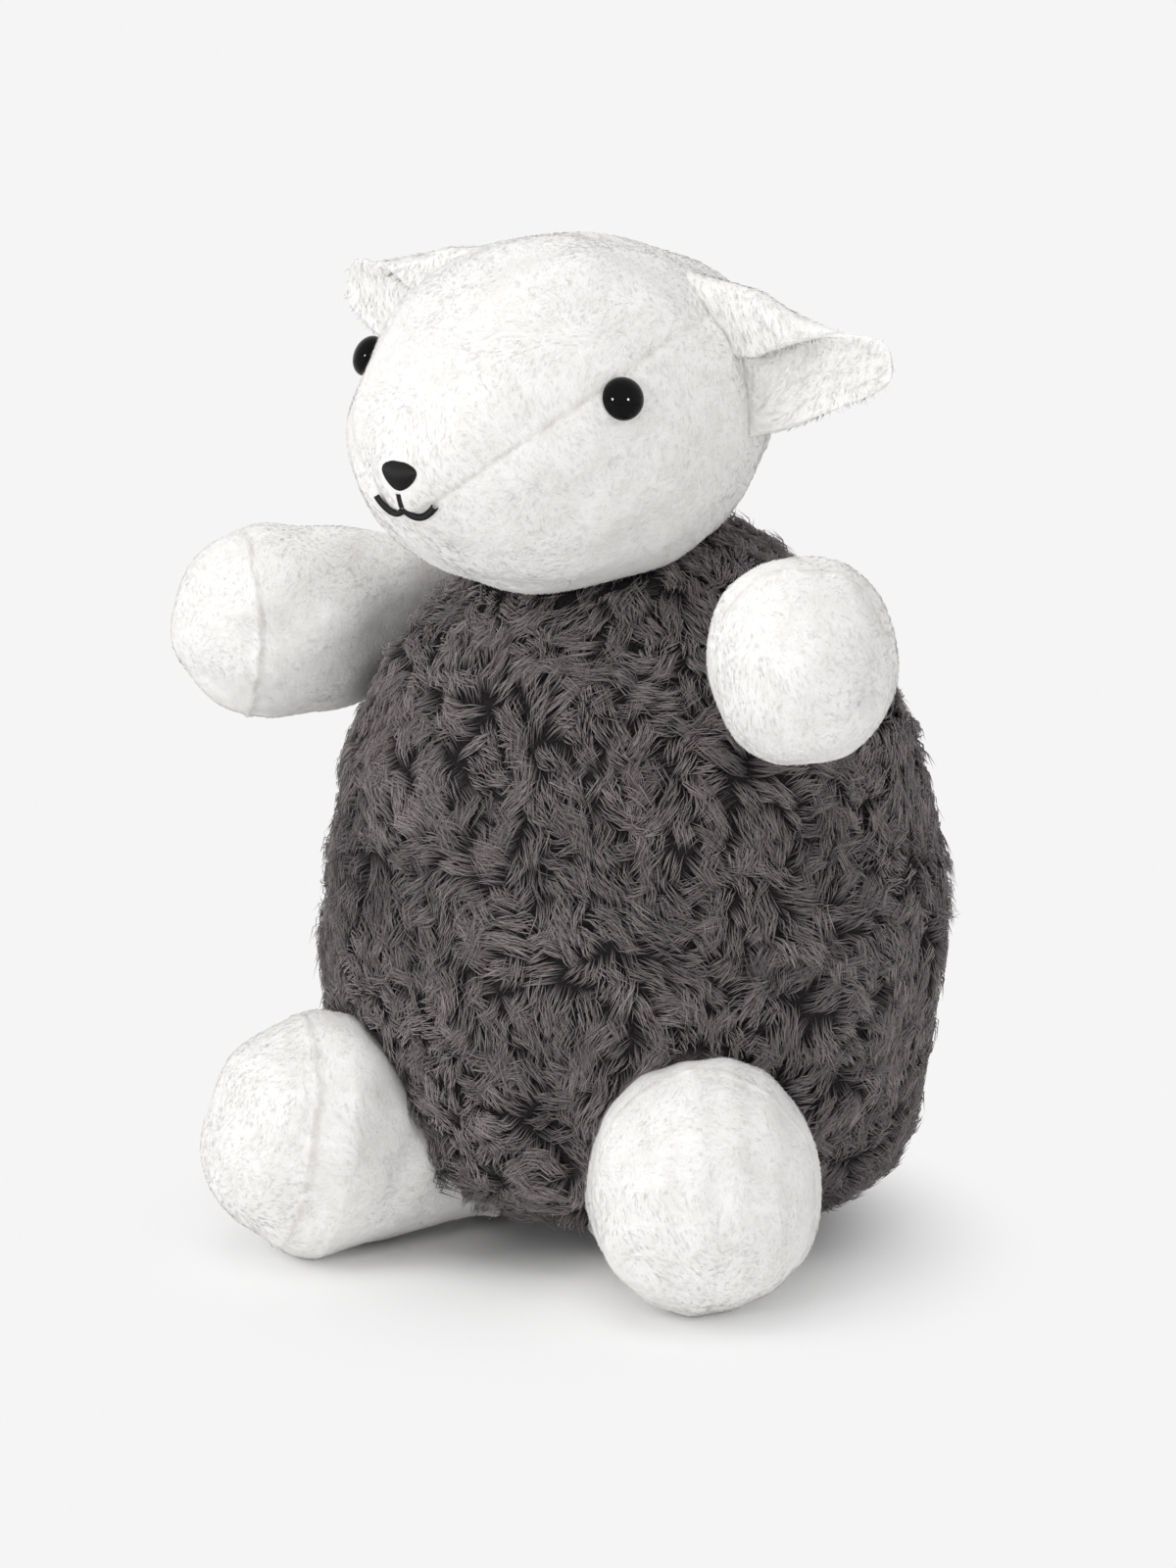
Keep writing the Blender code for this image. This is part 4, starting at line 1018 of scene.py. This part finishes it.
STRANDS_EACH = 18000
HAIR_SOFTNESS = 0.35
LIMB_PRESS = 0.004            # the pile is flattened this close to an arm or a leg
NECK_SEAM_ANGLE = math.radians(21.0)
NECK_NODS = np.radians((-8.0, -4.0, 0.0, 4.0, 8.0))
NECK_CLEARANCE = 0.0032       # the locks stay this far from the neck's thread as it nods


def scatter(piece, count, random):
    """Random points spread evenly over a mesh, each with its smooth normal."""
    mesh = piece.data
    mesh.calc_loop_triangles()
    corners = np.empty(len(mesh.loop_triangles) * 3, np.int32)
    mesh.loop_triangles.foreach_get("vertices", corners)
    corners = corners.reshape(-1, 3)
    places = vertex_values(mesh, "co")
    normals = vertex_values(mesh, "normal")
    a, b, c = (places[corners[:, i]] for i in range(3))
    areas = np.linalg.norm(np.cross(b - a, c - a), axis=1)
    chosen = random.choice(len(corners), count, p=areas / areas.sum())
    shares = random.random((count, 2))
    shares = np.where(shares.sum(1, keepdims=True) > 1.0, 1.0 - shares, shares)
    weights = np.stack((1.0 - shares.sum(1), shares[:, 0], shares[:, 1]), 1)
    points = (places[corners[chosen]] * weights[:, :, None]).sum(1)
    return points, unit_rows((normals[corners[chosen]] * weights[:, :, None]).sum(1))


def neck_distance(points):
    """How near each point comes to the neck's ring of stitches as the head nods."""
    nearest = np.full(points.shape[:-1], np.inf)
    for nod in NECK_NODS:
        turn = Matrix.Rotation(nod, 3, "X")
        axis = np.array(turn @ (HEAD_CENTRE - Vector(SHOULDER_BALL_CENTRE)).normalized())
        offset = points - SHOULDER_BALL_CENTRE
        height = offset @ axis
        radius = np.linalg.norm(offset - height[..., None] * axis, axis=-1)
        nearest = np.minimum(nearest, np.hypot(
            radius - SHOULDER_BALL_RADIUS * math.sin(NECK_SEAM_ANGLE),
            height - SHOULDER_BALL_RADIUS * math.cos(NECK_SEAM_ANGLE)))
    return nearest


def unit_rows(vectors):
    return vectors / np.maximum(np.linalg.norm(vectors, axis=-1, keepdims=True), 1e-12)


def spread_out(points, spacing):
    """Indices of points that keep the spacing from each other, first come first kept."""
    cells = {}
    kept = []
    for i, point in enumerate(points):
        cell = tuple(np.floor(point / spacing).astype(int))
        near = [j for x in (-1, 0, 1) for y in (-1, 0, 1) for z in (-1, 0, 1)
                for j in cells.get((cell[0] + x, cell[1] + y, cell[2] + z), ())]
        if all(math.dist(point, points[j]) >= spacing for j in near):
            cells.setdefault(cell, []).append(i)
            kept.append(i)
    return kept


def near(surface, points, margin):
    """Indices of the points within a margin of a surface's box."""
    tree, low, high = surface
    return np.flatnonzero(((points > low - margin) & (points < high + margin)).all(1))


def is_inside(surface, points):
    """Whether each point lies inside a closed surface."""
    inside = np.zeros(len(points), bool)
    for i in near(surface, points, 0.0):
        place, normal, index, distance = surface[0].find_nearest(Vector(points[i]))
        inside[i] = (Vector(points[i]) - place).dot(normal) < 0.0
    return inside


def push_out(surface, points, clearance):
    """Moves the points that lie inside a closed surface to just outside it, in place."""
    for i in near(surface, points, clearance):
        place, normal, index, distance = surface[0].find_nearest(Vector(points[i]))
        if (Vector(points[i]) - place).dot(normal) < clearance:
            points[i] = place + normal * clearance


# Each strand's cell in the UV map, in shares of the cell: its margin, and the heights of the
# root's middle and of its first ring
CELL_MARGIN = 0.06
ROOT_MIDDLE = 0.06
ROOT_RING = 0.08


def strand_mesh(name, paths, normals, width, tones, material, softness=0.0):
    """Tapering three-sided strands as one mesh, each path running from root to tip.

    The attributes tone and reach hold each strand's shade and how far along it a point is.
    The UV map has a cell for each strand. Softness is the share of the way that the shading
    normals turn to the surface's, because light passes through fine hair and evens it out."""
    count = len(paths)
    rings = paths.shape[1] - 1
    along = unit_rows(np.diff(paths, axis=1))
    across = unit_rows(np.cross(along, normals[:, None, :]))
    over = np.cross(along, across)
    taper = 1.0 - STRAND_TAPER_SHARE * np.arange(rings) / max(1, rings)
    verts = np.empty((count, rings * 3 + 1, 3))
    for k in range(3):
        turn = 2.0 * math.pi * k / 3.0
        offset = across * math.cos(turn) + over * math.sin(turn)
        radius = (width / 2.0)[:, None, None] * taper[None, :, None]
        verts[:, k:rings * 3:3] = paths[:, :-1] + offset * radius
    verts[:, -1] = paths[:, -1]

    faces = [((2, 1, 0), ((1.0, 0.0), (0.5, ROOT_MIDDLE), (0.0, 0.0)))]
    levels = [ROOT_RING + (1.0 - ROOT_RING) * j / rings for j in range(rings + 1)]
    for k in range(3):
        after = (k + 1) % 3
        left, right = k / 3.0, (k + 1) / 3.0
        for j in range(rings - 1):
            faces.append(((j * 3 + k, j * 3 + after, j * 3 + 3 + after, j * 3 + 3 + k),
                          ((left, levels[j]), (right, levels[j]),
                           (right, levels[j + 1]), (left, levels[j + 1]))))
        last = rings * 3 - 3
        faces.append(((last + k, last + after, rings * 3),
                      ((left, levels[-2]), (right, levels[-2]), ((left + right) / 2.0, 1.0))))
    corner = np.array([v for face, uvs in faces for v in face], np.int32)
    corner_uv = np.array([uv for face, uvs in faces for uv in uvs])
    sizes = np.array([len(face) for face, uvs in faces], np.int32)

    mesh = bpy.data.meshes.new(name)
    mesh.vertices.add(count * (rings * 3 + 1))
    mesh.vertices.foreach_set("co", verts.astype(np.float32).ravel())
    mesh.loops.add(count * len(corner))
    firsts = np.arange(count, dtype=np.int32) * (rings * 3 + 1)
    mesh.loops.foreach_set("vertex_index", (firsts[:, None] + corner).astype(np.int32).ravel())
    mesh.polygons.add(count * len(faces))
    starts = np.concatenate(([0], np.cumsum(np.tile(sizes, count))[:-1]))
    mesh.polygons.foreach_set("loop_start", starts.astype(np.int32))
    mesh.update(calc_edges=True)
    mesh.polygons.foreach_set("use_smooth", np.ones(count * len(faces), bool))
    for attribute_name, values in (
            ("tone", np.repeat(tones, rings * 3 + 1)),
            ("reach", np.tile(np.append(np.repeat(np.arange(rings), 3), rings) / rings,
                              count))):
        attribute = mesh.attributes.new(attribute_name, "FLOAT", "POINT")
        attribute.data.foreach_set("value", values.astype(np.float32))
    cells = math.ceil(math.sqrt(count))
    index = np.arange(count)
    corner_cells = np.stack((index % cells, index // cells), 1)[:, None, :]
    uv_map = mesh.uv_layers.new(name="OFBake")
    uvs = (corner_cells + CELL_MARGIN + (1.0 - 2.0 * CELL_MARGIN) * corner_uv) / cells
    uv_map.data.foreach_set("uv", uvs.astype(np.float32).ravel())
    own = vertex_values(mesh, "normal")
    soft = unit_rows(own * (1.0 - softness)
                     + np.repeat(normals, rings * 3 + 1, axis=0) * softness)
    mesh.normals_split_custom_set_from_vertices(soft)
    piece = bpy.data.objects.new(name, mesh)
    bpy.context.scene.collection.objects.link(piece)
    mesh.materials.append(material)
    return piece


# Grey polyester hair: each hair has its own shade, and is painted dark at its root, as shade deep in the pile, paler
# to the tip.
HAIR_ROOT_SHADE = "3A3637"
HAIR_DARK = "716A6B"
HAIR_PALE = "A69D9E"
hair_material, tree, shader = new_material("grey_fleece_hair")
tone = add_node(tree, "Attribute", attribute_name="tone")
reach = add_node(tree, "Attribute", attribute_name="reach")
shades = add_node(tree, "ValToRGB", {"Fac": tone.outputs["Fac"]})
shades.color_ramp.elements[0].color = linear(HAIR_DARK)
shades.color_ramp.elements[1].color = linear(HAIR_PALE)
# Painted shade: each hair darkens towards its root, where the pile shades it.
rise = add_node(tree, "MapRange", {"Value": reach.outputs["Fac"], "From Min": 0.05,
                                   "From Max": 0.65})
hair_colour = add_node(tree, "Mix", {"Factor": rise.outputs["Result"], "A": linear(HAIR_ROOT_SHADE),
                                     "B": shades.outputs["Color"]}, data_type="RGBA")
set_inputs(tree, shader, {"Base Color": hair_colour.outputs["Result"], "Roughness": 0.75,
                          "Specular IOR Level": 0.12, "Sheen Weight": 0.15,
                          "Sheen Roughness": 0.5})

places = vertex_values(backing.data, "co")
bare_shares = np.zeros(len(places))
for limb in limbs.values():
    for i in near(limb["surface"], places, LIMB_PRESS):
        place, normal, index, distance = limb["surface"][0].find_nearest(Vector(places[i]))
        out = (Vector(places[i]) - place).dot(normal)
        bare_shares[i] = max(bare_shares[i], min(1.0, max(0.0, 1.0 - out / LIMB_PRESS)))
attribute = backing.data.attributes.new("bare", "FLOAT", "POINT")
attribute.data.foreach_set("value", bare_shares.astype(np.float32))

random = np.random.default_rng(7)
lock_points, lock_normals = scatter(backing, LOCK_TRIES, random)
kept = spread_out(lock_points, LOCK_SPACING)
lock_points, lock_normals = lock_points[kept], lock_normals[kept]
flow = drift(lock_points, SWIRL_SIZE, 5) * SWIRL_STRENGTH + np.array((0.0, 0.0, -1.0))
flow += (drift(lock_points, SWIRL_SIZE / SMALL_SWIRL_COUNT, 6) * SWIRL_STRENGTH
         * SMALL_SWIRL_SHARE)
flow = unit_rows(flow - lock_normals * (flow * lock_normals).sum(1, keepdims=True))
side_way = np.cross(lock_normals, flow)
flow = unit_rows(flow + side_way * random.normal(size=(len(kept), 1)) * LOCK_TURN)
lock_curls = np.cross(lock_normals, flow) * random.normal(size=(len(kept), 1)) * LOCK_CURL
lock_lengths = LOCK_LENGTH * random.uniform(*LOCK_LENGTH_SHARES, len(kept))
lock_lifts = LOCK_LIFT * random.uniform(*LOCK_LIFT_SHARES, len(kept))
lock_tones = (random.normal(0.5, LOCK_TONE_SPREAD, len(kept))
              + drift(lock_points, TONE_PATCH_SIZE, 8)[:, 0] * TONE_PATCH_SPREAD)

roots, root_normals = scatter(backing, STRAND_COUNT, random)
blocked = is_inside(head_surface, roots)
for limb in limbs.values():
    blocked |= is_inside(limb["surface"], roots)
roots, root_normals = roots[~blocked], root_normals[~blocked]
count = len(roots)
tree_of_locks = KDTree(len(kept))
for i, point in enumerate(lock_points):
    tree_of_locks.insert(point, i)
tree_of_locks.balance()
lock_of = np.array([tree_of_locks.find(point)[1] for point in roots])
ways = unit_rows(flow[lock_of] + random.normal(size=(count, 3)) * HAIR_TURN)
lengths = (lock_lengths[lock_of] * random.uniform(*HAIR_LENGTH_SHARES, count))[:, None]
lifts = (lock_lifts[lock_of] * random.uniform(*HAIR_LIFT_SHARES, count))[:, None]
from_lock = roots - lock_points[lock_of]
tips = (roots - from_lock * CLING_SHARE + ways * lengths
        + root_normals * lifts * HAIR_TIP_LIFT_SHARE)
bends = (roots + (ways * HAIR_BEND_SHARE + lock_curls[lock_of]) * lengths
         + root_normals * lifts * HAIR_BEND_LIFT_SHARE)
runs = np.array(HAIR_POINT_SHARES)[None, :, None]
paths = ((1.0 - runs) ** 2 * roots[:, None] + 2.0 * runs * (1.0 - runs) * bends[:, None]
         + runs ** 2 * tips[:, None])
for step in (1, 2):
    points = paths[:, step].copy()
    push_out(head_surface, points, HAIR_CLEARANCE)
    for limb in limbs.values():
        push_out(limb["surface"], points, HAIR_CLEARANCE)
    paths[:, step] = points
paths[:, :, 2] = np.maximum(paths[:, :, 2], HAIR_FLOOR_CLEARANCE)
tones = np.clip(lock_tones[lock_of] + random.normal(0.0, HAIR_TONE_SPREAD, count), 0.0, 1.0)
widths = STRAND_WIDTH * random.uniform(*STRAND_WIDTH_SHARES, count)
along_paths = np.concatenate((paths, (paths[:, 1:] + paths[:, :-1]) / 2.0), 1)
clear = (neck_distance(along_paths) > NECK_CLEARANCE).all(1)
order = np.argsort(np.arctan2(roots[:, 1], roots[:, 0]))
order = order[clear[order]]
for i, part in enumerate(np.array_split(order, math.ceil(len(order) / STRANDS_EACH))):
    locks = strand_mesh(f"fleece_locks_{i + 1}", paths[part], root_normals[part],
                        widths[part], tones[part], hair_material, HAIR_SOFTNESS)
    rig.slot(locks, "grey_fleece")
    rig.padded(locks, fill=0.85)
    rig.ride(locks, "body")


# Short pile
# The tips of the white plush's pile, which soften its outline and hide its seams. They lie
# over the covers in the nap's drift, and stay clear of the eyes and the embroidery.
PILE_SPACING_AREA = 2.5e-6    # area of plush for each tuft of pile
PILE_WIDTH = 0.00036
PILE_LENGTH = 0.0020
EAR_PILE_LENGTH = 0.0030
PILE_LIFT = 0.00035
PILE_LENGTH_SHARES = (0.7, 1.3)
PILE_LIFT_SHARES = (0.5, 1.6)
PILE_DRIFT_SIZE = 0.040
PILE_FALL = 0.8               # the nap's lean downwards, beside a drift of about 1
PILE_SPREAD = 0.25
PILE_FLOOR_CLEARANCE = 0.0002
PILE_TONE = 0.7
PILE_TONE_SPREAD = 0.25
PILE_SOFTNESS = 0.92
PILE_SHADE = "F3F1EE"
STITCH_CLEARANCE = 0.0016

# White polyester pile: each tuft has its own shade.
pile_material, tree, shader = new_material("white_pile_tips")
tone = add_node(tree, "Attribute", attribute_name="tone")
shades = add_node(tree, "ValToRGB", {"Fac": tone.outputs["Fac"]})
shades.color_ramp.elements[0].color = linear(PILE_SHADE)
shades.color_ramp.elements[1].color = linear(PLUSH_WHITE)
set_inputs(tree, shader, {"Base Color": shades.outputs["Color"], "Roughness": 0.95,
                          "Specular IOR Level": 0.1, "Sheen Weight": 0.15,
                          "Sheen Roughness": 0.6})

stitch_places = [v.co for piece in (nose, stem, mouth) for v in piece.data.vertices]
tree_of_stitches = KDTree(len(stitch_places))
for i, place in enumerate(stitch_places):
    tree_of_stitches.insert(place, i)
tree_of_stitches.balance()


def lay_pile(name, cover, seed, length=PILE_LENGTH):
    """The pile's tips over one cover, as a piece of their own."""
    random = np.random.default_rng(seed)
    area = sum(polygon.area for polygon in cover.data.polygons)
    roots, normals = scatter(cover, int(area / PILE_SPACING_AREA), random)
    clear = roots[:, 2] > PILE_LIFT
    clear &= ~is_inside(body_surface, roots)
    if cover is head:
        clear &= np.linalg.norm(roots - SHOULDER_BALL_CENTRE, axis=1) > (
            SHOULDER_BALL_RADIUS + PILE_LIFT)
        for place in eye_places.values():
            clear &= np.linalg.norm(roots - np.array(place), axis=1) > EYE_RADIUS
        clear &= np.array([tree_of_stitches.find(root)[2] > STITCH_CLEARANCE
                           for root in roots])
    roots, normals = roots[clear], normals[clear]
    nap = drift(roots, PILE_DRIFT_SIZE, seed) + np.array((0.0, 0.0, -PILE_FALL))
    nap += random.normal(size=nap.shape) * PILE_SPREAD
    nap = unit_rows(nap - normals * (nap * normals).sum(1, keepdims=True))
    lengths = length * random.uniform(*PILE_LENGTH_SHARES, len(roots))
    lifts = (PILE_LIFT * length / PILE_LENGTH
             * random.uniform(*PILE_LIFT_SHARES, len(roots)))
    tips = roots + nap * lengths[:, None] + normals * lifts[:, None]
    tips[:, 2] = np.maximum(tips[:, 2], PILE_FLOOR_CLEARANCE)
    paths = np.stack((roots - normals * PILE_WIDTH / 4.0, tips), 1)
    tones = np.clip(random.normal(PILE_TONE, PILE_TONE_SPREAD, len(roots)), 0.0, 1.0)
    widths = PILE_WIDTH * random.uniform(*STRAND_WIDTH_SHARES, len(roots))
    pile = strand_mesh(name, paths, normals, widths, tones, pile_material, PILE_SOFTNESS)
    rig.slot(pile, "white_plush")
    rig.padded(pile, fill=0.5)
    return pile


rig.ride(lay_pile("head_pile", head, 61), "head")
for i, (side, ear) in enumerate(ears.items()):
    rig.ride(lay_pile("ear_" + side + "_pile", ear, 62 + i, EAR_PILE_LENGTH), "ear_" + side)
for i, (name, limb) in enumerate(limbs.items()):
    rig.blend(lay_pile(name + "_pile", limb["piece"], 64 + i), "body", name, limb["root"],
             limb["hinge_point"] + limb["along"] * BEND_LENGTH)


# Washers and neck stitching
# They are inside the cover: the washers that clamp the eyes, of moulded polypropylene with
# a faint grain, and the doubled nylon thread that ties the neck, a little rough. Their CAD
# nodes stay and get their materials.
GRAIN_SIZE = 0.0006
THREAD_PITCH = 0.0009
WASHER_WHITE = "D9D7D2"
NYLON_WHITE = "EDEAE4"
for node, colour, roughness, name in (
        ("eye_washer_left", WASHER_WHITE, 0.45, "moulded_polypropylene_left"),
        ("eye_washer_right", WASHER_WHITE, 0.45, "moulded_polypropylene_right"),
        ("neck_stitching", NYLON_WHITE, 0.6, "doubled_nylon_thread")):
    material, tree, shader = new_material(name)
    where = add_node(tree, "TexCoord")
    size = THREAD_PITCH if node == "neck_stitching" else GRAIN_SIZE
    grain = add_node(tree, "TexNoise", {"Vector": where.outputs["Object"],
                                        "Scale": 1.0 / size, "Detail": 3.0})
    rough = add_node(tree, "Bump", {"Height": grain.outputs["Fac"], "Strength": 0.3,
                                    "Distance": size / 4.0})
    set_inputs(tree, shader, {"Base Color": linear(colour), "Roughness": roughness,
                              "IOR": 1.49, "Normal": rough.outputs["Normal"]})
    frame["nodes"][node].data.materials.clear()
    frame["nodes"][node].data.materials.append(material)


low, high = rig.bounds()
with open("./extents.json", "w") as size_file:
    json.dump({"cad": [list(cad_low), list(cad_high)], "visual": [list(low), list(high)]},
              size_file)
